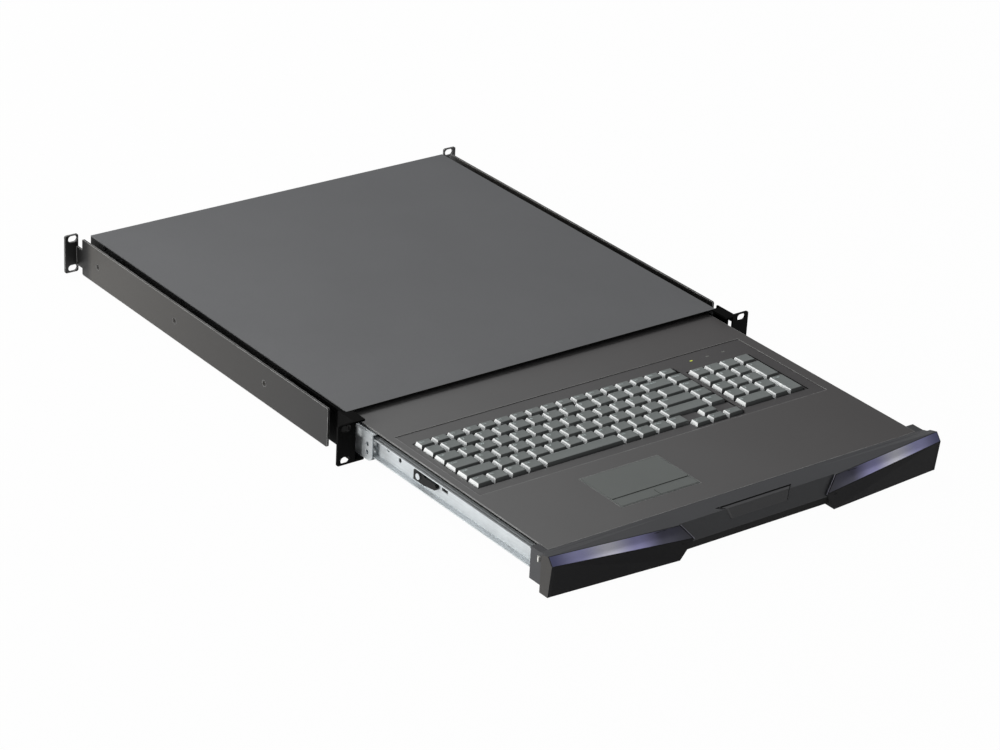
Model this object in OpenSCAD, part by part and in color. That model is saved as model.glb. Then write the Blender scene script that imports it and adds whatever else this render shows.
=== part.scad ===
// A 1U keyboard drawer with a switch for two computers and two monitors behind it.
// X runs across the rack, Y to the rear and Z up. The origin is the centre of the
// four front mounting slots, in the front plane of the ears. The drawer is pulled out.

/* [Rack mounting] */
// Width over the mounting ears
rack_w = 482.6; // [480:0.1:486]
// Distance from a slot's centre to the ear's outer edge
slot_set = 8.75; // [7.8:0.05:9.8]
// Distance between the two rows of slots
slot_pitch_z = 31.75; // [30:0.05:32.5]
// End-to-end length of a mounting slot
slot_len = 10; // [8:0.5:12]
// Height of a mounting slot
slot_h = 6.8; // [5.5:0.1:7.5]
// Height of the ears
ear_h = 40.8; // [40:0.1:42]
// Sheet thickness of the brackets
bracket_t = 2; // [1.5:0.1:2.2]
// Corner radius of the ears
ear_r = 2; // [1:0.5:3]

/* [Housing] */
// How far the ears stand out beside the housing
ear_reach = 24.4; // [23.8:0.1:25.8]
// Length of the housing
cover_len = 457.7; // [440:1:480]
// Setback of the housing behind the plane of the front ears
cover_setback = 21.7; // [21.5:0.1:24]
// Height of the cover's top above the origin
cover_top = 19.8; // [19.6:0.1:21]
// Depth of the housing's underside below the origin
base_drop = 20.6; // [20.2:0.1:21]
// Sheet thickness of the housing
sheet_t = 1.2; // [0.8:0.1:1.2]
// Reach of the rear ears behind the housing
rear_ear_reach = 11; // [8:0.5:30]
// Gap between the long rear brackets and the housing
side_gap = 9.1; // [8.6:0.1:10]

/* [Drawer] */
// How far the drawer slides in
tray_travel = 275.5; // [250:0.5:280]
// Length of the drawer's pan
tray_len = 350; // [330:1:360]
// Gap between the drawer's deck and the housing's walls
deck_side_gap = 4.7; // [3.7:0.1:7.7]
// Height of the deck's top above the origin
deck_top = 14.6; // [14.4:0.1:15]
// Thickness of the deck
deck_t = 1.2; // [0.8:0.1:1.2]
// Depth of the pan's underside below the origin
pan_drop = 16; // [14:0.1:18]

/* [Slides] */
// Height of the outer slide member
slide_h = 31.8; // [30:0.1:31.8]
// Depth of the slide from the housing's wall to the pan
slide_depth = 10.4; // [10.2:0.1:11]
// Thickness of the slide's steel
slide_t = 1; // [0.9:0.05:1.05]
// Length of the outer and middle members
slide_len = 360; // [320:1:365]
// Diameter of the balls between the outer and middle members
small_ball_d = 1.8; // [1.6:0.05:1.9]
// Diameter of the balls between the middle and inner members
large_ball_d = 4; // [3.7:0.05:4.1]

/* [Keyboard] */
// Distance between key centres across the keyboard
key_pitch = 19.05; // [18:0.05:19.1]
// Distance between the rows of keys
row_pitch = 17; // [16:0.1:17.2]
// Distance between key centres on the number pad
numpad_pitch = 18.4; // [17.5:0.1:18.6]
// Gap between two keys at their foot
key_gap = 1.6; // [1.2:0.1:2.4]
// Height of the key tops above the keyboard's frame
key_rise = 3; // [2:0.1:3.4]
// How far a key goes down
key_travel = 2; // [1.5:0.1:2.2]

/* [Touch pad] */
// Width of the touch surface
pad_w = 85.5; // [70:0.5:90]
// Depth of the touch surface
pad_d = 43.2; // [38:0.2:44]
// Depth of its two buttons
pad_button_d = 9.8; // [8:0.2:10]

/* [Handle] */
// Width over the handle
handle_w = 446; // [445:0.5:450]
// Width of the finger pull between the two wings
pull_w = 152.2; // [120:0.2:170]
// Width of the latch button along its back edge
button_w = 81.8; // [70:0.2:90]

/* [Hidden] */

$fn = 48;
// Overrun of every cut past the face that it opens
overrun = 1;
// Clearance between pieces that are fitted together
fit_gap = 0.3;
// Clearance of a pin in its bore
pin_gap = 0.08;

// Housing
cover_y0 = cover_setback;
cover_y1 = cover_y0 + cover_len;
ear_x = rack_w / 2;
cover_x = ear_x - ear_reach;
bay_x = cover_x - sheet_t;
base_z = -base_drop;
base_in = base_z + sheet_t;
cover_in = cover_top - sheet_t;
// Height of the lips under the cover
lip_h = 4.6;

// Front brackets, each with a receiver for the handle's body
slot_x = ear_x - slot_set;
// How far the receiver's wall stands outside the housing
receiver_offset = 5.1;
wall_in = cover_x + receiver_offset;
wall_out = wall_in + bracket_t;
// Depth of the receiver behind the ear's front
receiver_d = 26;
// Flange that is screwed to the housing, its setback above the bracket's foot and its height
flange_len = 84;
flange_set = 2;
flange_h = 36;
flange_z0 = flange_set - ear_h / 2;
// Length and width of the tabs over and under the receiver
tab_len = 20.5;
tab_w = 10;
// Window in the receiver's wall that faces the latch
window_len = 6.5;
window_h = 8.4;
// Small hole behind the window
peep_r = 1.2;
peep_y = 12;
peep_z = 12;

// Long rear brackets
plate_in = cover_x + side_gap;
plate_out = plate_in + bracket_t;
// Setback of the plate's front end behind the ears
plate_y0 = 36;
plate_y1 = cover_y1 - bracket_t;
// Height of the plate above and below the origin
plate_top = 19;
plate_drop = 20;
// Neck between the plate and the rear ear
neck_top = 7;
neck_drop = 13;
rear_ear_y = cover_y1 + rear_ear_reach;
// Standoffs between the housing and the plate
standoff_r = 5;
standoff_bore_r = 1.6;
// Places of the standoffs along the plate, as shares of its length
standoff_shares = [0.24, 0.6, 0.93];
standoff_y = [for (s = standoff_shares) plate_y0 + s * (plate_y1 - plate_y0)];
// Screws
screw_r = 1.5;
screw_head_r = 2.6;
screw_head_h = 0.8;
socket_r = 1.1;
socket_depth = 0.5;
// Places of the cover's screws along the cover, as shares of its length
cover_screw_shares = [0.3, 0.62, 0.94];
cover_screw_y = [for (s = cover_screw_shares) cover_y0 + s * cover_len];
cover_screw_z = cover_in - lip_h / 2;
// Places of the flange's screws, as shares of its length
flange_screw_shares = [0.35, 0.85];
flange_screw_y = [for (s = flange_screw_shares) receiver_d + s * flange_len];

// Slides, with places across them measured from the housing's wall
slide_z = -2.8;
slide_x = bay_x;
// Setback of the outer member behind the housing's front edge
outer_set = 2.4;
outer_y0 = cover_y0 + outer_set;
// How far the middle member stands out in front of the ears
middle_reach = 15.3;
// How far the middle member runs back when the drawer is pushed in
middle_travel = 42.5;
// Clearance between the webs of the outer and middle members
web_gap = 0.6;
middle_web = slide_t + web_gap;
// Distance between the outer and middle members' lips and the pan
lip_clear = 1.9;
lip_end = slide_depth - lip_clear;
// Gaps between the members' lips, which the balls roll in
small_race = 1;
large_race = 3.4;
outer_hh = slide_h / 2;
middle_hh = outer_hh - slide_t - small_race;
inner_hh = middle_hh - slide_t - large_race;
// Clearance of a ball in its grooves
race_gap = 0.05;
// Setback of the inner member behind the pan's front
inner_set = 10;
inner_len = tray_len - inner_set;
// Distance of the inner member's lips from the housing's wall
inner_lip = 3.4;
// Ball tracks
small_track = 3.9;
large_track = 6.4;
// Cages
small_cage_t = 0.4;
large_cage_t = 0.8;
small_cage_w = 3;
large_cage_w = 3.8;
small_cage_len = 200;
large_cage_len = 88;
small_balls = 8;
large_balls = 6;
cage_margin = 8;
// Clearance of a ball in its pocket
pocket_gap = 0.1;
// Rounded nose of the middle member, with its two holes
nose_r = 6;
nose_hole_r = 2;
nose_hole_set = 7.6;
nose_hole_dz = 4;
nose_hole_z = -2;
// Holes along the inner member, as shares of its length
inner_hole_r = 2.2;
inner_hole_shares = [0.57, 0.588, 0.642];
inner_hole_dz = [5.9, 1, 3.8];
// Rectangular window of the inner member
tab_window_len = 9;
tab_window_h = 5;
tab_window_set = 127;
// Release lever on the inner member
lever_set = 166;
lever_dz = 1.5;
lever_t = 3.6;
lever_web_gap = 0.5;
lever_len = 26.5;
lever_tail = 7.5;
lever_h = 11;
lever_tip_h = 5.6;
lever_step = 1.6;
lever_pin_r = 2;
lever_head_r = 3;
lever_head_t = 0.8;

// Drawer
// Gap between the closed handle's wings and the ears
wing_gap = 1.5;
wing_y = -tray_travel - wing_gap;
// Length of the handle's body behind its wings
body_len = 19;
tray_y0 = wing_y + body_len;
tray_y1 = tray_y0 + tray_len;
tray_x = slide_x - slide_depth;
deck_x = bay_x - deck_side_gap;
deck_in = deck_top - deck_t;
pan_z = -pan_drop;
pan_in = pan_z + sheet_t;
// How far the deck reaches over the handle's body
apron_len = 12.6;
// Distance between the handle's body and the receiver's wall
body_gap = 2.5;
body_x = wall_in - body_gap;

// Keys: the main block's left edge and the number row's centre line
key_x0 = -196.3;
number_y = -74;
function_d = 13;
arrow_d = 12.9;
// Distance from the main block's left edge to the number pad
numpad_offset = 305.8;
numpad_x0 = key_x0 + numpad_offset;
numpad_x1 = numpad_x0 + 4 * numpad_pitch;
row_y = [for (i = [0:4]) number_y - i * row_pitch];
function_y = number_y + row_pitch / 2 + function_d / 2;
block_y1 = function_y + function_d / 2;
block_y0 = row_y[4] - row_pitch / 2;
arrow_y1 = row_y[4] + row_pitch / 2;
arrow_y0 = arrow_y1 - 2 * arrow_d;
// Widths of keys, as shares of the distance between key centres
main_share = 15.65;
function_share = 0.916;
number_share = 0.93;
tab_share = 1.3;
caps_share = 1.6;
shift_share = 2;
modifier_share = 0.97;
space_share = 4.7;
// Wide keys have two stems, this share of the width from the middle
wide_share = 1.25;
stem_share = 0.32;
main_x1 = key_x0 + main_share * key_pitch;
arrow_x0 = main_x1 - 3 * key_pitch;
// Key caps
key_skirt = 1.6;
key_taper = 1.4;
stem_r = 2.4;
stem_len = 3.8;

// Keyboard's frame, its setback under the deck and its margins round the keys
frame_set = 0.6;
frame_t = 1.2;
frame_left = 6.7;
frame_right = 15.4;
frame_back = 18.1;
frame_front = 12;
frame_top = deck_top - frame_set;
frame_in = frame_top - frame_t;
frame_x0 = key_x0 - frame_left;
frame_x1 = numpad_x1 + frame_right;
frame_y0 = block_y0 - frame_front;
frame_y1 = block_y1 + frame_back;
well_gap = 0.5;
key_foot = frame_top - key_skirt;
key_top = frame_top + key_rise;
// Guide plate, membrane and back plate under the keys
guide_t = 2;
guide_top = key_foot - key_travel - fit_gap;
guide_z0 = guide_top - guide_t;
rim_t = 1.8;
membrane_t = 1;
membrane_gap = 0.4;
membrane_top = key_foot - stem_len - key_travel - membrane_gap;
back_plate_t = 0.8;
back_plate_z = membrane_top - membrane_t - back_plate_t;
// Slits on both sides of the number pad, measured from the main block's left edge
slit_w = 2;
slit_offsets = [298.5, 380.9];
slit_lengths = [104.3, 86];
slit_y1 = [block_y1, row_y[0] + row_pitch / 2];
// Status lights
led_w = 3.6;
led_d = 1.6;
led_h = 3;
led_rise = 25.8;
led_offsets = [325.5, 345.3, 365];
led_y = row_y[0] + led_rise;
// Posts under the keyboard, and their places as shares of its width and depth
post_r = 3;
post_x_shares = [0.1, 0.5, 0.9];
post_y_shares = [0.12, 0.88];

// Touch pad
pad_x0 = -109.3;
pad_x1 = pad_x0 + pad_w;
pad_y1 = -185.3;
pad_y0 = pad_y1 - pad_d;
// Distance between the touch surface and its buttons
pad_gap = 4.7;
pad_button_y1 = pad_y0 - pad_gap;
pad_button_y0 = pad_button_y1 - pad_button_d;
pad_edge = 1.4;
pad_rise = 0.3;
pad_t = 1.6;
pad_top = deck_top + pad_rise;
pad_frame_set = 0.3;
pad_frame_h = 4.7;
pad_frame_top = deck_top - pad_frame_set;
pad_frame_z = pad_frame_top - pad_frame_h;
// Lip of the touch pad's frame under the deck
pad_lip = 3;
pad_lip_t = 1.4;
pad_button_rise = 0.4;
pad_button_t = 2.2;
pad_button_travel = 0.6;
pad_button_split = 0.6;
pad_button_top = deck_top + pad_button_rise;
pad_button_z = pad_button_top - pad_button_t;
pad_stem_r = 1.6;
pad_stem_gap = 0.2;
pad_board_t = 1.2;

// Handle: depths are measured forwards from the back of the wings
handle_x = handle_w / 2;
handle_wall = 2;
// How far behind the wings' backs the top starts to rise
rise_set = 6;
wing_bottom = -20;
// Outer end of a wing: crest, foot of the bright strip and foot of the front
end_crest = [9, 18.4];
end_strip = [14.9, 11];
end_foot_d = 11.4;
// Inner end of a wing, which is cut back at its top and foot
mid_crest = [20.2, 15.8];
mid_strip = [25.4, 1.4];
mid_foot = [23.5, -17.6];
pull_x = pull_w / 2;
crest_cut = 13.1;
foot_cut = 12.6;
// Middle of the handle, over the finger pull
lip_crest_d = 18.6;
lip_foot = [24.6, -1.4];
lip_heel = [18.8, -12.2];
lip_wall = 2.8;
lip_crest_z = deck_top + (mid_crest[1] - deck_top) * (rise_set + lip_crest_d) / (rise_set + mid_crest[0]);
// Hollow behind the latch button
hollow_x = 44;
// Thickness of the slices that the wings are drawn between
slice_t = 0.01;
// Bosses for the handle's screws, as shares of the pan's half width
boss_r = 3.4;
boss_bore_r = 1.6;
boss_shares = [0.28, 0.82];
boss_z = -6;
handle_screw_len = 9;
// Ribs that guide the latch rods, as shares of the body's half width
rib_t = 3;
rib_shares = [0.3, 0.62];

// Latch: the button rocks about its lower front edge and draws two rods inwards
button_x = button_w / 2;
button_foot_x = 31.2;
button_back_d = 14.3;
button_proud = 0.8;
button_t = 2.4;
button_gap = 0.7;
button_back_gap = 2;
button_foot_z = 7;
pivot_r = 1.5;
pivot_len = 2.4;
pivot_in = 3.9;
button_angle = 6.9;
arm_x = 21;
arm_t = 2.4;
arm_z = 4.4;
pull_pin_x = 17;
pull_pin_r = 1.2;
rod_set = 7;
rod_w = 3.2;
rod_h = 4.6;
rod_z = 8.4;
rod_in_x = 12;
rod_end_len = 14;
rod_end_h = 12.5;
rod_travel = 2.1;
tongue_clear = 0.4;
window_y = wing_y + rod_set + tray_travel;

// Electronics
board_t = 1.6;
board_d = 76;
board_side_gap = 19.7;
board_w = 2 * (bay_x - board_side_gap);
board_rise = 4;
board_setback = 3;
board_y1 = cover_y1 - sheet_t - board_setback;
board_y0 = board_y1 - board_d;
board_z = base_in + board_rise;
port_z = board_z + board_t;
// Distance between a board's edge and its posts
post_inset = 6;
port_gap = 0.5;
port_reach = 0.8;
port_y1 = cover_y1 + port_reach;
// Groups of ports and the power socket, as shares of half the board's width
group_shares = [-0.82, -0.2, 0.42];
group_x = [for (s = group_shares) s * board_w / 2];
power_share = 0.9;
power_x = power_share * board_w / 2;
// Stacked video connector
video_w = 39;
video_h = 29;
video_d = 36;
video_mouth_w = 24;
video_mouth_h = 7.6;
video_mouth_depth = 8;
video_mouth_dz = 7.4;
video_nut_r = 2.4;
video_nut_dx = 16.2;
// Stacked data sockets beside it
data_offset = 31;
data_w = 12;
data_h = 23;
data_d = 18;
data_mouth_w = 8.4;
data_mouth_h = 7.6;
data_mouth_dz = 5.5;
data_tongue_w = 5.4;
data_tongue_h = 3;
// Two sound sockets beside those
jack_offset = 48;
jack_r = 3.6;
jack_bore_r = 1.8;
jack_d = 12;
jack_block_w = 9;
jack_block_h = 22;
jack_pitch = 12;
// Power socket
power_w = 11;
power_h = 11;
power_d = 14;
power_bore_r = 3;
power_pin_r = 1;
// Vents between the groups of ports
vent_offset = 64;
vent_count = 6;
vent_w = 2;
vent_h = 14;
vent_pitch = 6;
vent_z = 0;
// Chips
chip_w = 18;
chip_h = 1.8;
chip_shares = [-0.62, -0.1, 0.36, 0.74];
controller_w = 90;
controller_d = 34;
controller_rise = 4;
controller_y0 = 26;

module block(x0, x1, y0, y1, z0, z1) {
    translate([x0, y0, z0]) cube([x1 - x0, y1 - y0, z1 - z0]);
}

module on_side(side) {
    mirror([side < 0 ? 1 : 0, 0, 0]) children();
}

module rounded_rect(w, h, r) {
    square([w - 2 * r, h], center = true);
    square([w, h - 2 * r], center = true);
    for (sx = [-1, 1])
        for (sy = [-1, 1])
            translate([sx * (w / 2 - r), sy * (h / 2 - r)]) circle(r = r);
}

module slot_2d(len, h) {
    square([len - h, h], center = true);
    for (sx = [-1, 1])
        translate([sx * (len - h) / 2, 0]) circle(r = h / 2);
}

// Turns a drawing in X and Z into a plate that runs back from the plane y
module plate_y(y, depth) {
    translate([0, y + depth, 0]) rotate([90, 0, 0]) linear_extrude(depth) children();
}

// Turns a drawing in Y and Z into a plate that runs out from the plane x
module plate_x(x, depth) {
    translate([x, 0, 0]) rotate([90, 0, 90]) linear_extrude(depth) children();
}

module bore_x(x, y, z, r, depth) {
    translate([x, y, z]) rotate([0, 90, 0]) cylinder(r = r, h = depth);
}

module bore_y(x, y, z, r, depth) {
    translate([x, y, z]) rotate([-90, 0, 0]) cylinder(r = r, h = depth);
}

// A screw whose head stands on the origin and points along Z
module screw(shank) {
    difference() {
        union() {
            cylinder(r = screw_head_r, h = screw_head_h);
            translate([0, 0, -shank]) cylinder(r = screw_r, h = shank + screw_head_h / 2);
        }
        translate([0, 0, screw_head_h - socket_depth])
            cylinder(r = socket_r, h = socket_depth + overrun, $fn = 6);
    }
}

module ear_2d(x_in) {
    difference() {
        translate([(x_in + ear_x) / 2, 0]) rounded_rect(ear_x - x_in, ear_h, ear_r);
        for (sz = [-1, 1])
            translate([slot_x, sz * slot_pitch_z / 2]) slot_2d(slot_len, slot_h);
    }
}

// Housing

module chassis_base() {
    color([0.13, 0.13, 0.14]) {
        difference() {
            union() {
                block(-cover_x, cover_x, cover_y0, cover_y1, base_z, base_in);
                for (side = [-1, 1]) on_side(side)
                    block(bay_x, cover_x, cover_y0, cover_y1, base_z, cover_in);
            }
            for (side = [-1, 1]) on_side(side) {
                for (y = flange_screw_y)
                    bore_x(bay_x - overrun, y, 0, screw_r + fit_gap, sheet_t + 2 * overrun);
                for (y = cover_screw_y)
                    bore_x(bay_x - overrun, y, cover_screw_z, screw_r + fit_gap, sheet_t + 2 * overrun);
            }
        }
        for (x = [-1, 0, 1])
            for (y = [board_y0 + post_inset, board_y1 - post_inset])
                translate([x * (board_w / 2 - post_inset), y, base_in - sheet_t / 2])
                    cylinder(r = post_r, h = board_rise + sheet_t / 2);
    }
}

module top_cover() {
    color([0.37, 0.375, 0.38]) difference() {
        union() {
            block(-cover_x, cover_x, cover_y0, cover_y1, cover_in, cover_top);
            for (side = [-1, 1]) on_side(side)
                block(bay_x - sheet_t, bay_x, cover_y0, cover_y1, cover_in - lip_h, cover_in);
        }
        for (side = [-1, 1]) on_side(side)
            for (y = cover_screw_y)
                bore_x(bay_x - sheet_t - overrun, y, cover_screw_z, screw_r + pin_gap, sheet_t + 2 * overrun);
    }
}

module cover_screws() {
    color([0.08, 0.08, 0.09])
        for (side = [-1, 1]) on_side(side)
            for (y = cover_screw_y)
                translate([cover_x, y, cover_screw_z]) rotate([0, 90, 0]) screw(2 * sheet_t);
}

module rear_panel() {
    color([0.13, 0.13, 0.14]) difference() {
        block(-bay_x, bay_x, cover_y1 - sheet_t, cover_y1, base_in, cover_in);
        plate_y(cover_y1 - sheet_t - overrun, sheet_t + 2 * overrun) ports_2d();
        block(-overrun - bay_x, sheet_t - bay_x, cover_y1 - 2 * sheet_t, cover_y1 + overrun,
              cover_in - lip_h, cover_in + overrun);
        block(bay_x - sheet_t, bay_x + overrun, cover_y1 - 2 * sheet_t, cover_y1 + overrun,
              cover_in - lip_h, cover_in + overrun);
        for (x = [group_x[0], group_x[1]])
            for (i = [0:vent_count - 1])
                plate_y(cover_y1 - sheet_t - overrun, sheet_t + 2 * overrun)
                    translate([x + vent_offset + i * vent_pitch, vent_z]) rotate(90) slot_2d(vent_h, vent_w);
    }
}

// Brackets

module front_bracket(side) {
    color([0.05, 0.05, 0.055]) on_side(side) difference() {
        union() {
            plate_y(0, bracket_t) ear_2d(wall_in);
            block(wall_in, wall_out, 0, receiver_d, -ear_h / 2, ear_h / 2);
            block(cover_x, wall_out, receiver_d - bracket_t, receiver_d, flange_z0, flange_z0 + flange_h);
            block(cover_x, cover_x + bracket_t, receiver_d - bracket_t, receiver_d + flange_len,
                  flange_z0, flange_z0 + flange_h);
            for (z = [-ear_h / 2, ear_h / 2 - bracket_t])
                block(wall_in - tab_w, wall_out, 0, tab_len, z, z + bracket_t);
        }
        block(wall_in - overrun, wall_out + overrun, window_y - window_len / 2, window_y + window_len / 2,
              rod_z - window_h / 2, rod_z + window_h / 2);
        bore_x(wall_in - overrun, peep_y, peep_z, peep_r, bracket_t + 2 * overrun);
        for (y = flange_screw_y)
            bore_x(cover_x - overrun, y, 0, screw_r + fit_gap, bracket_t + 2 * overrun);
    }
}

module rear_bracket(side) {
    color([0.17, 0.165, 0.16]) on_side(side) difference() {
        union() {
            plate_x(plate_in, bracket_t) {
                translate([(plate_y0 + plate_y1) / 2, (plate_top - plate_drop) / 2])
                    rounded_rect(plate_y1 - plate_y0, plate_top + plate_drop, ear_r);
                translate([plate_y1 - ear_r, -neck_drop])
                    square([rear_ear_y - plate_y1 + ear_r, neck_top + neck_drop]);
            }
            plate_y(rear_ear_y - bracket_t, bracket_t) ear_2d(plate_in);
        }
        for (y = standoff_y) {
            bore_x(plate_in - overrun, y, 0, screw_r + fit_gap, bracket_t + 2 * overrun);
            bore_x(plate_out - screw_head_h, y, 0, screw_head_r + fit_gap, screw_head_h + overrun);
        }
    }
}

module bracket_standoffs() {
    color([0.75, 0.76, 0.77])
        for (side = [-1, 1]) on_side(side)
            for (y = standoff_y)
                difference() {
                    bore_x(cover_x, y, 0, standoff_r, side_gap);
                    bore_x(cover_x - overrun, y, 0, standoff_bore_r, side_gap + 2 * overrun);
                }
}

module bracket_screws() {
    color([0.08, 0.08, 0.09])
        for (side = [-1, 1]) on_side(side) {
            for (y = standoff_y)
                translate([plate_out - screw_head_h, y, 0]) rotate([0, 90, 0]) screw(side_gap - bracket_t);
            for (y = flange_screw_y)
                translate([cover_x + bracket_t, y, 0]) rotate([0, 90, 0]) screw(bracket_t + sheet_t);
        }
}

// Slides: sections are drawn with u running from the housing's wall to the drawer

module slide_run(side, y0, len) {
    on_side(side) translate([slide_x, y0 + len, slide_z]) mirror([1, 0, 0])
        rotate([90, 0, 0]) linear_extrude(len) children();
}

// Grooves for the balls in the races above and below a member
module track_2d(u, hh, ball_d) {
    for (sz = [-1, 1])
        translate([u, sz * hh]) circle(r = ball_d / 2 + race_gap);
}

module slide_outer(side) {
    color([0.82, 0.83, 0.84]) slide_run(side, outer_y0, slide_len) difference() {
        translate([0, -outer_hh]) square([lip_end, 2 * outer_hh]);
        translate([slide_t, slide_t - outer_hh]) square([lip_end, 2 * (outer_hh - slide_t)]);
        track_2d(small_track, middle_hh + small_race / 2, small_ball_d);
    }
}

module slide_middle(side) {
    web_out = slide_x - middle_web;
    color([0.86, 0.87, 0.88]) difference() {
        slide_run(side, -middle_reach, slide_len) difference() {
            translate([middle_web, -middle_hh]) square([lip_end - middle_web, 2 * middle_hh]);
            translate([middle_web + slide_t, slide_t - middle_hh])
                square([lip_end, 2 * (middle_hh - slide_t)]);
            track_2d(small_track, middle_hh + small_race / 2, small_ball_d);
            track_2d(large_track, inner_hh + large_race / 2, large_ball_d);
        }
        on_side(side) {
            for (sz = [-1, 1])
                bore_x(web_out - slide_t - overrun, nose_hole_set - middle_reach,
                       slide_z + nose_hole_z + sz * nose_hole_dz, nose_hole_r, slide_t + 2 * overrun);
            nose_cut(web_out);
        }
    }
}

// Rounds the lower front corner of the middle member
module nose_cut(web_out) {
    plate_x(tray_x, web_out - tray_x + overrun) difference() {
        translate([-middle_reach - overrun, slide_z - middle_hh - overrun])
            square([nose_r + overrun, nose_r + overrun]);
        translate([nose_r - middle_reach, slide_z - middle_hh + nose_r]) circle(r = nose_r);
    }
}

module slide_inner(side) {
    y0 = tray_y0 + inner_set;
    color([0.88, 0.89, 0.9]) {
        difference() {
            slide_run(side, y0, inner_len) difference() {
                translate([inner_lip, -inner_hh]) square([slide_depth - inner_lip, 2 * inner_hh]);
                translate([inner_lip - slide_t, slide_t - inner_hh])
                    square([slide_depth - inner_lip, 2 * (inner_hh - slide_t)]);
                track_2d(large_track, inner_hh + large_race / 2, large_ball_d);
            }
            on_side(side) {
                for (i = [0:len(inner_hole_shares) - 1])
                    bore_x(tray_x - overrun, y0 + inner_hole_shares[i] * inner_len,
                           slide_z + inner_hole_dz[i], inner_hole_r, slide_t + 2 * overrun);
                block(tray_x - overrun, tray_x + slide_t + overrun,
                      y0 + tab_window_set, y0 + tab_window_set + tab_window_len,
                      slide_z, slide_z + tab_window_h);
            }
        }
        on_side(side) translate([tray_x + slide_t / 2, y0 + lever_set, slide_z + lever_dz]) rotate([0, 90, 0]) {
            cylinder(r = lever_pin_r, h = slide_t / 2 + lever_web_gap + lever_t + fit_gap + lever_head_t / 2);
            translate([0, 0, slide_t / 2 + lever_web_gap + lever_t + fit_gap])
                cylinder(r = lever_head_r, h = lever_head_t);
        }
    }
}

module release_lever(side) {
    y0 = tray_y0 + inner_set + lever_set;
    color([0.03, 0.03, 0.035]) on_side(side)
        translate([0, y0, slide_z + lever_dz])
            plate_x(tray_x + slide_t + lever_web_gap, lever_t) difference() {
                polygon([[lever_tail, -lever_h / 2], [lever_tail, lever_h / 2 - lever_step],
                         [lever_step - lever_tail, lever_h / 2], [-lever_tail - lever_step, lever_tip_h / 2],
                         [lever_step - lever_len, lever_tip_h / 2], [-lever_len, 0],
                         [lever_step - lever_len, -lever_tip_h / 2], [-lever_tail, -lever_h / 2]]);
                circle(r = lever_pin_r + pin_gap);
            }
}

// A cage strip with its row of balls, u across the slide and z above its middle
module cage_row(side, y0, len, u, z, strip, ball_d, balls) {
    pitch = (len - 2 * cage_margin) / (balls - 1);
    on_side(side) translate([slide_x - u, y0, slide_z + z]) {
        difference() {
            block(-strip[0] / 2, strip[0] / 2, 0, len, -strip[1] / 2, strip[1] / 2);
            for (i = [0:balls - 1])
                translate([0, cage_margin + i * pitch, 0])
                    cylinder(r = ball_d / 2 + pocket_gap, h = ball_d, center = true);
        }
        for (i = [0:balls - 1])
            translate([0, cage_margin + i * pitch, 0]) sphere(r = ball_d / 2);
    }
}

module outer_cage(side) {
    color([0.7, 0.66, 0.45])
        for (sz = [-1, 1])
            cage_row(side, outer_y0 + middle_travel, small_cage_len, small_track,
                     sz * (middle_hh + small_race / 2), [small_cage_w, small_cage_t], small_ball_d, small_balls);
}

module inner_cage(side) {
    color([0.7, 0.66, 0.45])
        for (sz = [-1, 1])
            cage_row(side, cage_margin - middle_reach, large_cage_len, large_track,
                     sz * (inner_hh + large_race / 2), [large_cage_w, large_cage_t], large_ball_d, large_balls);
}

// Drawer

module tray_pan() {
    color([0.1, 0.1, 0.105]) {
        difference() {
            union() {
                block(-tray_x, tray_x, tray_y0, tray_y1, pan_z, pan_in);
                for (y = [tray_y0, tray_y1 - sheet_t])
                    block(-tray_x, tray_x, y, y + sheet_t, pan_z, deck_in);
                for (side = [-1, 1]) on_side(side)
                    block(tray_x - sheet_t, tray_x, tray_y0, tray_y1, pan_z, deck_in);
            }
            for (side = [-1, 1]) on_side(side)
                for (s = boss_shares)
                    bore_y(s * tray_x, tray_y0 - overrun, boss_z, screw_r + fit_gap, sheet_t + 2 * overrun);
        }
        for (sx = [-1, 1])
            for (y = [controller_y0 + post_inset, controller_y0 + controller_d - post_inset])
                pan_post(sx * (controller_w / 2 - post_inset), y, controller_rise);
        for (x = post_x_shares)
            for (y = post_y_shares)
                pan_post(frame_x0 + x * (frame_x1 - frame_x0), frame_y0 + y * (frame_y1 - frame_y0),
                         back_plate_z - pan_in);
    }
}

// A post on the pan's floor
module pan_post(x, y, h) {
    translate([x, y, pan_in - sheet_t / 2]) cylinder(r = post_r, h = h + sheet_t / 2);
}

module deck_panel() {
    color([0.35, 0.35, 0.35]) difference() {
        block(-deck_x, deck_x, tray_y0 - apron_len, tray_y1, deck_in, deck_top);
        block(frame_x0 - fit_gap, frame_x1 + fit_gap, frame_y0 - fit_gap, frame_y1 + fit_gap,
              deck_in - overrun, deck_top + overrun);
        block(pad_x0 - pad_edge - fit_gap, pad_x1 + pad_edge + fit_gap,
              pad_button_y0 - pad_edge - fit_gap, pad_y1 + pad_edge + fit_gap,
              deck_in - overrun, deck_top + overrun);
    }
}

// Keys: each is a cell with its left edge, middle, width and depth

function key_run(x0, y, w, d, count) = [for (i = [0:count - 1]) [x0 + i * w, y, w, d]];
function main_key(x0, x1, row) = [x0, row_y[row], x1 - x0, row_pitch];

nav_x = main_x1 - key_pitch;
number_x = key_x0 + number_share * key_pitch;
tab_x = key_x0 + tab_share * key_pitch;
caps_x = key_x0 + caps_share * key_pitch;
shift_x = key_x0 + shift_share * key_pitch;
modifier_x = key_x0 + modifier_share * key_pitch;
space_x = modifier_x + 3 * key_pitch;
space_x1 = space_x + space_share * key_pitch;
upper_x1 = tab_x + 12 * key_pitch;

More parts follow.
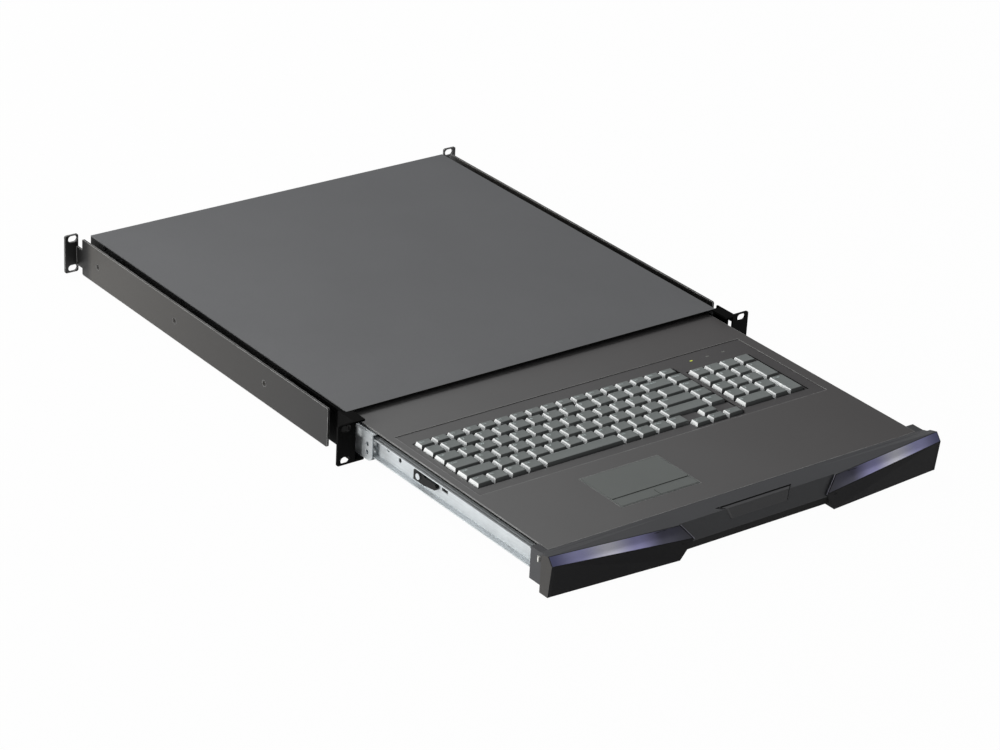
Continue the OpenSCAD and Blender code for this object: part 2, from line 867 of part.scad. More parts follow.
function_keys = key_run(key_x0, function_y, function_share * key_pitch, function_d, 17);
number_keys = concat([main_key(key_x0, number_x, 0)], key_run(number_x, row_y[0], key_pitch, row_pitch, 12));
backspace = [main_key(number_x + 12 * key_pitch, nav_x, 0)];
tab = [main_key(key_x0, tab_x, 1)];
upper_keys = concat(key_run(tab_x, row_y[1], key_pitch, row_pitch, 12), [main_key(upper_x1, nav_x, 1)]);
caps_lock = [main_key(key_x0, caps_x, 2)];
home_keys = key_run(caps_x, row_y[2], key_pitch, row_pitch, 11);
enter = [main_key(caps_x + 11 * key_pitch, nav_x, 2)];
shift_left = [main_key(key_x0, shift_x, 3)];
lower_keys = key_run(shift_x, row_y[3], key_pitch, row_pitch, 10);
shift_right = [main_key(shift_x + 10 * key_pitch, nav_x, 3)];
modifier_keys = concat([main_key(key_x0, modifier_x, 4)],
                       key_run(modifier_x, row_y[4], key_pitch, row_pitch, 3),
                       key_run(space_x1, row_y[4], key_pitch, row_pitch, 4));
space = [main_key(space_x, space_x1, 4)];
arrow_keys = concat(key_run(arrow_x0, arrow_y0 + arrow_d / 2, key_pitch, arrow_d, 3),
                    key_run(arrow_x0 + key_pitch, arrow_y1 - arrow_d / 2, key_pitch, arrow_d, 1));
navigation_keys = [for (i = [0:3]) main_key(nav_x, main_x1, i)];
pad_plus_x = numpad_x1 - numpad_pitch;
numpad_keys = concat(key_run(numpad_x0, row_y[0], numpad_pitch, row_pitch, 4),
                     key_run(numpad_x0, row_y[1], numpad_pitch, row_pitch, 3),
                     key_run(numpad_x0, row_y[2], numpad_pitch, row_pitch, 3),
                     key_run(numpad_x0, row_y[3], numpad_pitch, row_pitch, 3),
                     [[numpad_x0, row_y[4], 2 * numpad_pitch, row_pitch]],
                     [[pad_plus_x - numpad_pitch, row_y[4], numpad_pitch, row_pitch]]);
plus_key = [[pad_plus_x, (row_y[1] + row_y[2]) / 2, numpad_pitch, 2 * row_pitch]];
pad_enter_key = [[pad_plus_x, (row_y[3] + row_y[4]) / 2, numpad_pitch, 2 * row_pitch]];
all_keys = concat(function_keys, number_keys, backspace, tab, upper_keys, caps_lock, home_keys, enter,
                  shift_left, lower_keys, shift_right, modifier_keys, space, arrow_keys, navigation_keys,
                  numpad_keys, plus_key, pad_enter_key);

module keys(list) {
    color([0.4, 0.41, 0.41])
        for (key = list) {
            translate([key[0] + key[2] / 2, key[1], key_foot]) key_cap(key[2] - key_gap, key[3] - key_gap);
            at_stems(key) translate([0, 0, key_foot - stem_len]) cylinder(r = stem_r, h = stem_len + overrun);
        }
}

// A cap that tapers to its top on all four sides
module key_cap(w, d) {
    intersection() {
        translate([0, d / 2, 0]) rotate([90, 0, 0]) linear_extrude(d) taper_2d(w);
        translate([-w / 2, 0, 0]) rotate([90, 0, 90]) linear_extrude(w) taper_2d(d);
    }
}

module taper_2d(w) {
    h = key_top - key_foot;
    polygon([[-w / 2, 0], [w / 2, 0], [w / 2 - key_taper, h], [key_taper - w / 2, h]]);
}

// Puts its children at the one or two stems of a key
module at_stems(key) {
    dx = key[2] > wide_share * key_pitch ? key[2] * stem_share : 0;
    dy = key[3] > wide_share * row_pitch ? key[3] * stem_share : 0;
    for (s = dx + dy > 0 ? [-1, 1] : [0])
        translate([key[0] + key[2] / 2 + s * dx, key[1] + s * dy, 0]) children();
}

// Keyboard

module wells_2d() {
    translate([key_x0 - well_gap, block_y0 - well_gap])
        square([main_x1 - key_x0 + 2 * well_gap, block_y1 - block_y0 + 2 * well_gap]);
    translate([arrow_x0 - well_gap, arrow_y0 - well_gap])
        square([main_x1 - arrow_x0 + 2 * well_gap, block_y0 - arrow_y0 + 2 * well_gap]);
    translate([numpad_x0 - well_gap, block_y0 - well_gap])
        square([numpad_x1 - numpad_x0 + 2 * well_gap, 5 * row_pitch + 2 * well_gap]);
}

module led_slots_2d() {
    for (x = led_offsets)
        translate([key_x0 + x, led_y]) square([led_w + fit_gap, led_d + fit_gap], center = true);
}

module keyboard_frame() {
    color([0.27, 0.27, 0.275]) difference() {
        block(frame_x0, frame_x1, frame_y0, frame_y1, frame_in, frame_top);
        translate([0, 0, frame_in - overrun]) linear_extrude(frame_t + 2 * overrun) {
            wells_2d();
            led_slots_2d();
            for (i = [0, 1])
                translate([key_x0 + slit_offsets[i], slit_y1[i] - slit_lengths[i]])
                    square([slit_w, slit_lengths[i]]);
        }
    }
}

module keyboard_guide_plate() {
    color([0.12, 0.12, 0.12]) difference() {
        block(frame_x0, frame_x1, frame_y0, frame_y1, back_plate_z + back_plate_t, frame_in);
        block(frame_x0 + rim_t, frame_x1 - rim_t, frame_y0 + rim_t, frame_y1 - rim_t,
              back_plate_z, guide_z0);
        block(frame_x0 + rim_t, frame_x1 - rim_t, arrow_y0 - 2 * well_gap, block_y1 + 2 * well_gap,
              guide_top, frame_in + overrun);
        for (key = all_keys)
            at_stems(key) translate([0, 0, guide_z0 - overrun])
                cylinder(r = stem_r + fit_gap, h = guide_t + 2 * overrun);
        translate([0, 0, guide_z0 - overrun]) linear_extrude(frame_in - guide_z0 + 2 * overrun) led_slots_2d();
    }
}

module keyboard_membrane() {
    color([0.5, 0.52, 0.5])
        block(frame_x0 + rim_t + fit_gap, frame_x1 - rim_t - fit_gap, frame_y0 + rim_t + fit_gap,
              frame_y1 - rim_t - fit_gap, membrane_top - membrane_t, membrane_top);
}

module keyboard_back_plate() {
    color([0.7, 0.7, 0.7])
        block(frame_x0, frame_x1, frame_y0, frame_y1, back_plate_z, back_plate_z + back_plate_t);
}

module status_leds() {
    color([0.55, 0.75, 0.25])
        for (x = led_offsets)
            block(key_x0 + x - led_w / 2, key_x0 + x + led_w / 2, led_y - led_d / 2, led_y + led_d / 2,
                  frame_top - led_h, frame_top);
}

module keyboard_controller() {
    z = pan_in + controller_rise;
    color([0.05, 0.3, 0.15]) {
        block(-controller_w / 2, controller_w / 2, controller_y0, controller_y0 + controller_d, z, z + board_t);
        block(-chip_w / 2, chip_w / 2, controller_y0 + post_inset, controller_y0 + post_inset + chip_w,
              z + board_t / 2, z + board_t + chip_h);
    }
}

// Touch pad

module touchpad_frame() {
    color([0.3, 0.31, 0.31]) difference() {
        union() {
            block(pad_x0 - pad_edge, pad_x1 + pad_edge, pad_button_y0 - pad_edge, pad_y1 + pad_edge,
                  pad_frame_z, pad_frame_top);
            block(pad_x0 - pad_lip, pad_x1 + pad_lip, pad_button_y0 - pad_lip, pad_y1 + pad_lip,
                  deck_in - pad_lip_t, deck_in);
        }
        block(pad_x0 - fit_gap, pad_x1 + fit_gap, pad_y0 - fit_gap, pad_y1 + fit_gap,
              pad_top - pad_t, pad_frame_top + overrun);
        block(pad_x0 - fit_gap, pad_x1 + fit_gap, pad_button_y0 - fit_gap, pad_button_y1 + fit_gap,
              pad_button_z - pad_button_travel - fit_gap, pad_frame_top + overrun);
        for (side = [-1, 1])
            pad_stem(side, pad_stem_r + fit_gap, pad_frame_z - overrun, pad_button_z);
    }
}

module pad_stem(side, r, z0, z1) {
    translate([(pad_x0 + pad_x1) / 2 + side * pad_w / 4, (pad_button_y0 + pad_button_y1) / 2, z0])
        cylinder(r = r, h = z1 - z0);
}

module touchpad_board() {
    color([0.05, 0.3, 0.15])
        block(pad_x0, pad_x1, pad_button_y0, pad_y1, pad_frame_z - pad_board_t, pad_frame_z);
}

module touch_surface() {
    color([0.41, 0.42, 0.415]) block(pad_x0, pad_x1, pad_y0, pad_y1, pad_top - pad_t, pad_top);
}

module touchpad_button(side) {
    middle = (pad_x0 + pad_x1) / 2;
    inner = middle + side * pad_button_split / 2;
    outer = middle + side * pad_w / 2;
    color([0.41, 0.42, 0.415]) {
        block(min(inner, outer), max(inner, outer), pad_button_y0, pad_button_y1, pad_button_z, pad_button_top);
        pad_stem(side, pad_stem_r, pad_frame_z + pad_button_travel + pad_stem_gap, pad_button_z + pad_button_t / 2);
    }
}

// Handle: d is measured forwards from the back of the wings

function at(d, z) = [wing_y - d, z];
// Height of the rising top at the back of the wings, under a crest
function rise_at(crest) = deck_top + (crest[1] - deck_top) * rise_set / (rise_set + crest[0]);

module front_handle() {
    color([0.12, 0.12, 0.125]) difference() {
        union() {
            difference() {
                handle_form();
                body_hollow();
            }
            for (side = [-1, 1]) on_side(side) {
                for (s = boss_shares)
                    bore_y(s * tray_x, wing_y + handle_wall / 2, boss_z, boss_r, body_len - handle_wall / 2);
                for (s = rib_shares)
                    block(s * body_x, s * body_x + rib_t, wing_y + handle_wall / 2, tray_y0 - handle_wall,
                          pan_z + handle_wall / 2, deck_in - handle_wall / 2);
            }
        }
        for (side = [-1, 1]) on_side(side) {
            for (s = boss_shares)
                bore_y(s * tray_x, tray_y0 - handle_screw_len, boss_z, boss_bore_r, handle_screw_len + overrun);
            block(rod_in_x, body_x + overrun, wing_y + rod_set - rod_w / 2 - fit_gap,
                  wing_y + rod_set + rod_w / 2 + fit_gap, rod_z - rod_h / 2 - fit_gap, rod_z + rod_h / 2 + fit_gap);
            bore_x(0, wing_y - pivot_d, pivot_z, pivot_r + pin_gap, pivot_x + fit_gap);
        }
        button_pocket();
    }
}

// Solid form of the handle, without its hollows
module handle_form() {
    difference() {
        block(-body_x, body_x, wing_y, tray_y0, pan_z, deck_top);
        block(-deck_x - fit_gap, deck_x + fit_gap, tray_y0 - apron_len - fit_gap, tray_y0 + overrun,
              deck_in, deck_top + overrun);
    }
    plate_x(-crest_x, 2 * crest_x)
        polygon([at(-rise_set, deck_top), at(lip_crest_d, lip_crest_z), at(lip_foot[0], lip_foot[1]),
                 at(lip_heel[0], lip_heel[1]), at(-rise_set, lip_heel[1])]);
    for (side = [-1, 1]) on_side(side) {
        plate_x(body_x, handle_x - body_x) end_2d();
        wing();
        rise();
    }
}

crest_x = pull_x + crest_cut;

module end_2d() {
    polygon([at(0, wing_bottom), at(0, rise_at(end_crest)), at(end_crest[0], end_crest[1]),
             at(end_strip[0], end_strip[1]), at(end_foot_d, wing_bottom)]);
}

// A wing runs from its outer end to an inner end that is cut back at the top and the foot
module wing() {
    hull() {
        plate_x(body_x - slice_t, slice_t) end_2d();
        plate_x(crest_x, slice_t)
            polygon([at(0, mid_foot[1]), at(0, rise_at(mid_crest)), at(mid_crest[0], mid_crest[1])]);
        plate_x(pull_x, slice_t)
            polygon([at(mid_strip[0], mid_strip[1]), at(mid_strip[0] - slice_t, mid_strip[1]),
                     at(mid_strip[0], mid_strip[1] - slice_t)]);
        plate_x(pull_x + foot_cut, slice_t)
            polygon([at(0, mid_foot[1]), at(mid_foot[0], mid_foot[1]), at(0, mid_foot[1] + slice_t)]);
    }
}

// The top rises towards the crest from just behind the wings
module rise() {
    hull() {
        plate_x(body_x - slice_t, slice_t) rise_2d(end_crest);
        plate_x(crest_x - slice_t, slice_t) rise_2d(mid_crest);
    }
}

module rise_2d(crest) {
    polygon([at(-rise_set, deck_top), at(-rise_set, deck_in), at(0, deck_in), at(0, rise_at(crest))]);
}

module body_hollow() {
    block(handle_wall - body_x, body_x - handle_wall, wing_y + handle_wall, tray_y0 - handle_wall,
          pan_z + handle_wall, deck_in - handle_wall);
    block(handle_wall - tray_x, tray_x - handle_wall, wing_y + handle_wall, tray_y0 + overrun,
          pan_z + handle_wall, deck_in - handle_wall);
    plate_x(-hollow_x, 2 * hollow_x)
        polygon([at(-rise_set, lip_heel[1] + lip_wall), at(-rise_set, deck_in - handle_wall),
                 at(lip_crest_d - lip_wall, deck_in - handle_wall), at(lip_foot[0] - 2 * lip_wall, lip_foot[1]),
                 at(lip_heel[0] - lip_wall, lip_heel[1] + lip_wall)]);
}

// Latch

lip_slope = (lip_foot[0] - lip_crest_d) / (lip_crest_z - lip_foot[1]);
button_foot_d = lip_crest_d + (lip_crest_z - button_foot_z) * lip_slope + button_proud;
pivot_d = button_foot_d - pivot_in;
pivot_z = button_foot_z + pivot_r + fit_gap;
pivot_x = button_half(pivot_d) + button_gap + pivot_len;
pull_drop = (pivot_d + rod_set) * sin(button_angle);

// Half the button's width at a depth
function button_half(d) =
    button_x - (button_x - button_foot_x) * (d - button_back_d) / (button_foot_d - button_back_d);

module button_plan(back, front, gap) {
    polygon([[-button_half(back) - gap, wing_y - back], [button_half(back) + gap, wing_y - back],
             [button_half(front) + gap, wing_y - front], [-button_half(front) - gap, wing_y - front]]);
}

module button_pocket() {
    translate([0, 0, button_foot_z])
        linear_extrude(button_proud + lip_crest_z)
            button_plan(button_back_d - button_back_gap, button_foot_d + overrun, button_gap);
}

module latch_button() {
    top = lip_crest_z + button_proud;
    foot = button_foot_z + fit_gap;
    color([0.13, 0.13, 0.135]) {
        intersection() {
            plate_x(-button_x, 2 * button_x)
                polygon([at(button_back_d, top), at(lip_crest_d + button_proud, top), at(button_foot_d, foot),
                         at(pivot_d - pivot_r, foot), at(pivot_d - pivot_r, foot + 2 * pivot_r),
                         at(lip_crest_d - button_t, top - button_t), at(button_back_d, top - button_t)]);
            linear_extrude(2 * top) button_plan(button_back_d, button_foot_d, 0);
        }
        bore_x(-pivot_x, wing_y - pivot_d, pivot_z, pivot_r, 2 * pivot_x);
        block(-arm_x, arm_x, wing_y - button_back_d - button_t, wing_y - button_back_d,
              arm_z - arm_t / 2, top - button_t / 2);
        block(-arm_x, arm_x, wing_y - button_back_d, wing_y + rod_set - rod_w / 2 - arm_t,
              arm_z - arm_t / 2, arm_z + arm_t / 2);
        for (sx = [-1, 1])
            bore_y(sx * pull_pin_x, wing_y + rod_set - rod_w / 2 - 2 * arm_t, arm_z, pull_pin_r,
                   rod_w + 3 * arm_t);
    }
}

// A rod with a slanted slot for the button's pin and a bevelled tongue
module latch_rod(side) {
    tip_x = wall_in - tongue_clear;
    slot_r = pull_pin_r + fit_gap;
    color([0.88, 0.88, 0.86]) on_side(side) translate([0, wing_y + rod_set, 0]) {
        difference() {
            block(rod_in_x, rod_in_x + rod_end_len, -rod_w / 2, rod_w / 2,
                  rod_z + rod_h / 2 - rod_end_h, rod_z + rod_h / 2);
            plate_y(-rod_w / 2 - overrun, rod_w + 2 * overrun)
                translate([pull_pin_x + rod_travel / 2, arm_z - pull_drop / 2])
                    rotate(-atan2(pull_drop, rod_travel))
                        slot_2d(norm([pull_drop, rod_travel]) + 2 * slot_r, 2 * slot_r);
        }
        translate([0, 0, rod_z - rod_h / 2]) linear_extrude(rod_h)
            polygon([[rod_in_x + rod_end_len - rod_w, -rod_w / 2], [tip_x, -rod_w / 2], [tip_x, 0],
                     [tip_x - rod_w / 2, rod_w / 2], [rod_in_x + rod_end_len - rod_w, rod_w / 2]]);
    }
}

module handle_screws() {
    color([0.08, 0.08, 0.09])
        for (side = [-1, 1]) on_side(side)
            for (s = boss_shares)
                translate([s * tray_x, tray_y0 + sheet_t, boss_z]) rotate([-90, 0, 0])
                    screw(handle_screw_len);
}

// Electronics

module switch_board() {
    color([0.05, 0.3, 0.15]) {
        block(-board_w / 2, board_w / 2, board_y0, board_y1, board_z, port_z);
        for (s = chip_shares)
            block(s * board_w / 2 - chip_w / 2, s * board_w / 2 + chip_w / 2, board_y0 + post_inset,
                  board_y0 + post_inset + chip_w, port_z - board_t / 2, port_z + chip_h);
    }
}

// Outlines of all ports on the rear panel, with clearance round them
module ports_2d() {
    g = port_gap;
    for (x = group_x) {
        translate([x - video_w / 2 - g, port_z - g]) square([video_w + 2 * g, video_h + 2 * g]);
        translate([x + data_offset - data_w / 2 - g, port_z - g]) square([data_w + 2 * g, data_h + 2 * g]);
        for (sz = [-1, 1])
            translate([x + jack_offset, jack_z(sz)]) circle(r = jack_r + g);
    }
    translate([power_x - power_w / 2 - g, port_z - g]) square([power_w + 2 * g, power_h + 2 * g]);
}

function jack_z(sz) = port_z + jack_block_h / 2 + sz * jack_pitch / 2;

module switch_ports() {
    color([0.6, 0.61, 0.62]) {
        for (x = group_x) {
            video_port(x);
            data_port(x + data_offset);
            sound_port(x + jack_offset);
        }
        power_port();
    }
}

// Share of its height by which the foot of a video mouth is narrower on each side
mouth_slope_share = 0.2;

module mouth_2d(w, h) {
    s = mouth_slope_share * h;
    polygon([[-w / 2, h / 2], [w / 2, h / 2], [w / 2 - s, -h / 2], [s - w / 2, -h / 2]]);
}

module video_port(x) {
    difference() {
        block(x - video_w / 2, x + video_w / 2, port_y1 - video_d, port_y1, port_z, port_z + video_h);
        for (sz = [-1, 1])
            translate([x, 0, port_z + video_h / 2 + sz * video_mouth_dz]) {
                plate_y(port_y1 - video_mouth_depth, video_mouth_depth + overrun) difference() {
                    mouth_2d(video_mouth_w, video_mouth_h);
                    mouth_2d(video_mouth_w - 2 * port_gap - video_nut_r, video_mouth_h - 2 * port_gap - video_nut_r);
                }
                for (sx = [-1, 1])
                    bore_y(sx * video_nut_dx, port_y1 - video_nut_r, 0, video_nut_r / 2, video_nut_r + overrun);
            }
    }
}

module data_port(x) {
    difference() {
        block(x - data_w / 2, x + data_w / 2, port_y1 - data_d, port_y1, port_z, port_z + data_h);
        for (sz = [-1, 1])
            translate([x, 0, port_z + data_h / 2 + sz * data_mouth_dz])
                plate_y(port_y1 - data_d / 2, data_d / 2 + overrun) difference() {
                    square([data_mouth_w, data_mouth_h], center = true);
                    square([data_tongue_w, data_tongue_h], center = true);
                }
    }
}

module sound_port(x) {
    back = cover_y1 - sheet_t - port_gap;
    difference() {
        union() {
            block(x - jack_block_w / 2, x + jack_block_w / 2, back - jack_d, back, port_z, port_z + jack_block_h);
            for (sz = [-1, 1])
                bore_y(x, back - overrun, jack_z(sz), jack_r, port_y1 - back + overrun);
        }
        for (sz = [-1, 1])
            bore_y(x, back - jack_d / 2, jack_z(sz), jack_bore_r, port_y1 - back + jack_d / 2 + overrun);
    }
}

module power_port() {
    z = port_z + power_h / 2;
    difference() {
        block(power_x - power_w / 2, power_x + power_w / 2, port_y1 - power_d, port_y1, port_z, port_z + power_h);
        bore_y(power_x, port_y1 - power_d / 2, z, power_bore_r, power_d / 2 + overrun);
    }
    bore_y(power_x, port_y1 - power_d / 2 - overrun, z, power_pin_r, power_d / 2);
}

chassis_base();
top_cover();
rear_panel();
front_bracket(-1);  // front_bracket_left
front_bracket(1);  // front_bracket_right
rear_bracket(-1);  // rear_bracket_left
rear_bracket(1);  // rear_bracket_right
bracket_standoffs();
bracket_screws();
cover_screws();
slide_outer(-1);  // slide_outer_left
slide_outer(1);  // slide_outer_right
slide_middle(-1);  // slide_middle_left
slide_middle(1);  // slide_middle_right
slide_inner(-1);  // slide_inner_left
slide_inner(1);  // slide_inner_right
outer_cage(-1);  // outer_cage_left
outer_cage(1);  // outer_cage_right
inner_cage(-1);  // inner_cage_left
inner_cage(1);  // inner_cage_right
release_lever(-1);  // release_lever_left
release_lever(1);  // release_lever_right
tray_pan();
deck_panel();
front_handle();
handle_screws();
latch_button();
latch_rod(-1);  // latch_rod_left
latch_rod(1);  // latch_rod_right
keyboard_frame();
keyboard_guide_plate();
keyboard_membrane();
keyboard_back_plate();
keyboard_controller();
status_leds();
keys(function_keys);  // keys_function
keys(number_keys);  // keys_number
keys(backspace);  // key_backspace
keys(tab);  // key_tab
keys(upper_keys);  // keys_upper
keys(caps_lock);  // key_caps_lock
keys(home_keys);  // keys_home
keys(enter);  // key_enter
keys(shift_left);  // key_shift_left
keys(lower_keys);  // keys_lower
keys(shift_right);  // key_shift_right
keys(modifier_keys);  // keys_modifier
keys(space);  // space_bar
keys(arrow_keys);  // keys_arrow
keys(navigation_keys);  // keys_navigation
keys(numpad_keys);  // keys_numpad
keys(plus_key);  // numpad_plus
keys(pad_enter_key);  // numpad_enter
touchpad_frame();
touchpad_board();
touch_surface();
touchpad_button(-1);  // touchpad_button_left
touchpad_button(1);  // touchpad_button_right
switch_board();
switch_ports();
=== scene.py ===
import math
import bpy
from mathutils import Matrix, Vector


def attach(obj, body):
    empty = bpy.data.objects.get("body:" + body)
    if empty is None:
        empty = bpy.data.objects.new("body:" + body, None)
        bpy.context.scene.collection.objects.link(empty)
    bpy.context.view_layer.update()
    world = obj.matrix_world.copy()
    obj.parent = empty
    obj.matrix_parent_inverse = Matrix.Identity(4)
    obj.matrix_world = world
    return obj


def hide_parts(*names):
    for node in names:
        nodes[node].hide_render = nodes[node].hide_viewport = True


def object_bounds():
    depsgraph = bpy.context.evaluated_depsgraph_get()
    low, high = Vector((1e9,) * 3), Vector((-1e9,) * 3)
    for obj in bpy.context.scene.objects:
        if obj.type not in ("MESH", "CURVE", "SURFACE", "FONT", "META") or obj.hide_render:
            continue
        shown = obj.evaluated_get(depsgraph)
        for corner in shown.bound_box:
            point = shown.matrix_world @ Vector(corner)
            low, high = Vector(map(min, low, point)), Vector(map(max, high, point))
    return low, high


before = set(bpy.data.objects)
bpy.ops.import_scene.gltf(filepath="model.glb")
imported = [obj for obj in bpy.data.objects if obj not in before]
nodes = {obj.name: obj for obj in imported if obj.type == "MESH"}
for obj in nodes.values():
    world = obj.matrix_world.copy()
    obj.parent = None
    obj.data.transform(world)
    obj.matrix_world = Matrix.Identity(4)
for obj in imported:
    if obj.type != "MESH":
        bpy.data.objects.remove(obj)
cadLow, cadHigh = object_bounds()
mm = 0.001
print("frame loaded:", len(nodes), "nodes")


def deselectAll():
    if bpy.context.object and bpy.context.object.mode != "OBJECT":
        bpy.ops.object.mode_set(mode="OBJECT")
    bpy.ops.object.select_all(action="DESELECT")


def makeActive(obj):
    deselectAll()
    obj.select_set(True)
    bpy.context.view_layer.objects.active = obj


def addCube(name, low, high):  # corners in mm
    deselectAll()
    centre = [(a + b) / 2 * mm for a, b in zip(low, high)]
    bpy.ops.mesh.primitive_cube_add(size=1, location=centre)
    obj = bpy.context.object
    obj.name = name
    obj.scale = [(b - a) * mm for a, b in zip(low, high)]
    bpy.ops.object.transform_apply(location=True, rotation=True, scale=True)
    return obj


def addRod(name, start, end, radius, sides=12):  # points in mm
    deselectAll()
    run = Vector(end) - Vector(start)
    bpy.ops.mesh.primitive_cylinder_add(vertices=sides, radius=radius * mm, depth=run.length * mm,
                                        location=(Vector(start) + run / 2) * mm,
                                        rotation=run.to_track_quat("Z", "Y").to_euler())
    obj = bpy.context.object
    obj.name = name
    bpy.ops.object.transform_apply(location=True, rotation=True, scale=True)
    return obj


# enters edit mode with only the faces that pass the test selected
def pickFaces(obj, test):
    makeActive(obj)
    mesh = obj.data
    for item in list(mesh.vertices) + list(mesh.edges):
        item.select = False
    for face in mesh.polygons:
        face.select = bool(test(face.center, face.normal))
    bpy.context.tool_settings.mesh_select_mode = (False, False, True)
    bpy.ops.object.mode_set(mode="EDIT")


def leaveEdit():
    bpy.ops.object.mode_set(mode="OBJECT")


def bevelEdges(obj, width, segments=2, angle=30):
    makeActive(obj)
    mod = obj.modifiers.new("edges", "BEVEL")
    mod.width = width * mm
    mod.segments = segments
    mod.limit_method = "ANGLE"
    mod.angle_limit = math.radians(angle)
    bpy.ops.object.modifier_apply(modifier=mod.name)


def smooth(obj, angle=35):
    makeActive(obj)
    bpy.ops.object.shade_smooth_by_angle(angle=math.radians(angle))


def joinAll(name, parts):
    makeActive(parts[0])
    for part in parts:
        part.select_set(True)
    if len(parts) > 1:
        bpy.ops.object.join()
    obj = bpy.context.object
    obj.name = name
    obj.data.name = name
    return obj


# a copy with a mesh of its own, moved by a shift in mm
def copyTo(master, shift):
    obj = master.copy()
    obj.data = master.data.copy()
    obj.data.transform(Matrix.Translation(Vector(shift) * mm))
    bpy.context.scene.collection.objects.link(obj)
    return obj


# a solidify modifier, applied; offset 1 lets the sheet grow outward only
def thicken(obj, thickness, offset):
    makeActive(obj)
    mod = obj.modifiers.new("thick", "SOLIDIFY")
    mod.thickness = thickness * mm
    mod.offset = offset
    bpy.ops.object.modifier_apply(modifier=mod.name)


# hands a finished piece to the frame
def place(obj, body):
    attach(obj, body)


def sideName(side):
    return "right" if side > 0 else "left"


def dress(obj, *mats):
    obj.data.materials.clear()
    for mat in mats:
        obj.data.materials.append(mat)


# another material on the faces that pass the test, which takes their middle in mm and their normal
def dressFaces(obj, mat, test):
    obj.data.materials.append(mat)
    last = len(obj.data.materials) - 1
    for face in obj.data.polygons:
        if test(face.center / mm, face.normal):
            face.material_index = last


facing = 0.9  # a face looks along an axis when its normal has more than this there


# place in metres, angles in degrees
cameraSetup = dict(lens=116.76, sensor=36, clip=(0.05, 50), place=(-1.7172, -2.1243, 1.3358),
                   azimuth=-37.935, elevation=25.923, roll=3.130)


def addCamera(setup):
    data = bpy.data.cameras.new("camera")
    data.sensor_width = setup["sensor"]
    data.lens = setup["lens"]
    data.clip_start, data.clip_end = setup["clip"]
    obj = bpy.data.objects.new("camera", data)
    bpy.context.scene.collection.objects.link(obj)
    azimuth, elevation, roll = (math.radians(setup[k]) for k in ("azimuth", "elevation", "roll"))
    right = Vector((math.cos(azimuth), math.sin(azimuth), 0))
    forward = Vector((-math.sin(azimuth) * math.cos(elevation),
                      math.cos(azimuth) * math.cos(elevation), -math.sin(elevation)))
    up = right.cross(forward)
    side = math.cos(roll) * right + math.sin(roll) * up
    top = math.cos(roll) * up - math.sin(roll) * right
    turn = Matrix((side, top, -forward)).transposed()
    obj.matrix_world = Matrix.Translation(setup["place"]) @ turn.to_4x4()
    bpy.context.scene.camera = obj


addCamera(cameraSetup)
print("camera placed")


def newGroup(name, inputs, outputs):
    group = bpy.data.node_groups.new(name, "ShaderNodeTree")
    for label, kind, value in inputs:
        socket = group.interface.new_socket(name=label, in_out="INPUT", socket_type=kind)
        socket.default_value = value
    for label, kind in outputs:
        group.interface.new_socket(name=label, in_out="OUTPUT", socket_type=kind)
    return group, group.nodes.new("NodeGroupInput"), group.nodes.new("NodeGroupOutput")


# fills the inputs of a node; a source is a value or the socket of another node
def feed(tree, node, sources):
    for key, source in sources.items():
        if hasattr(source, "is_output"):
            tree.links.new(source, node.inputs[key])
        else:
            node.inputs[key].default_value = source


def addNode(tree, kind, sources=None, **settings):
    node = tree.nodes.new(kind)
    for key, value in settings.items():
        setattr(node, key, value)
    feed(tree, node, sources or {})
    return node


def addGroup(tree, group, **sources):
    node = addNode(tree, "ShaderNodeGroup", node_tree=group)
    feed(tree, node, sources)
    return node


# these give the socket of the result
def addPlace(tree):
    return addNode(tree, "ShaderNodeTexCoord").outputs["Object"]


def addMath(tree, operation, a, b, clamp=False):
    return addNode(tree, "ShaderNodeMath", {0: a, 1: b}, operation=operation, use_clamp=clamp).outputs[0]


def addVectorMath(tree, operation, sources, result=0):
    return addNode(tree, "ShaderNodeVectorMath", sources, operation=operation).outputs[result]


def addSpan(tree, value, low, high, start=-1.0, end=1.0):
    return addNode(tree, "ShaderNodeMapRange", {"Value": value, 1: low, 2: high, 3: start, 4: end}).outputs[0]


def addNoise(tree, vector, scale, detail, roughness=0.5):
    return addNode(tree, "ShaderNodeTexNoise", {"Vector": vector, "Scale": scale, "Detail": detail,
                                                "Roughness": roughness}).outputs["Fac"]


surfaceOutputs = [("Color", "NodeSocketColor"), ("Roughness", "NodeSocketFloat"),
                  ("Normal", "NodeSocketVector")]
bumpReach = 0.0002  # metres


# colour and roughness vary together, and a height gives the bump
def endSurface(group, inside, outside, change, height, strength):
    gain = addMath(group, "ADD", change, 1.0)
    bump = addNode(group, "ShaderNodeBump", {"Height": height, "Strength": strength, "Distance": bumpReach})
    feed(group, outside, {
        "Color": addVectorMath(group, "SCALE", {0: inside.outputs["Color"], "Scale": gain}),
        "Roughness": addMath(group, "MULTIPLY", gain, inside.outputs["Roughness"]),
        "Normal": bump.outputs["Normal"]})


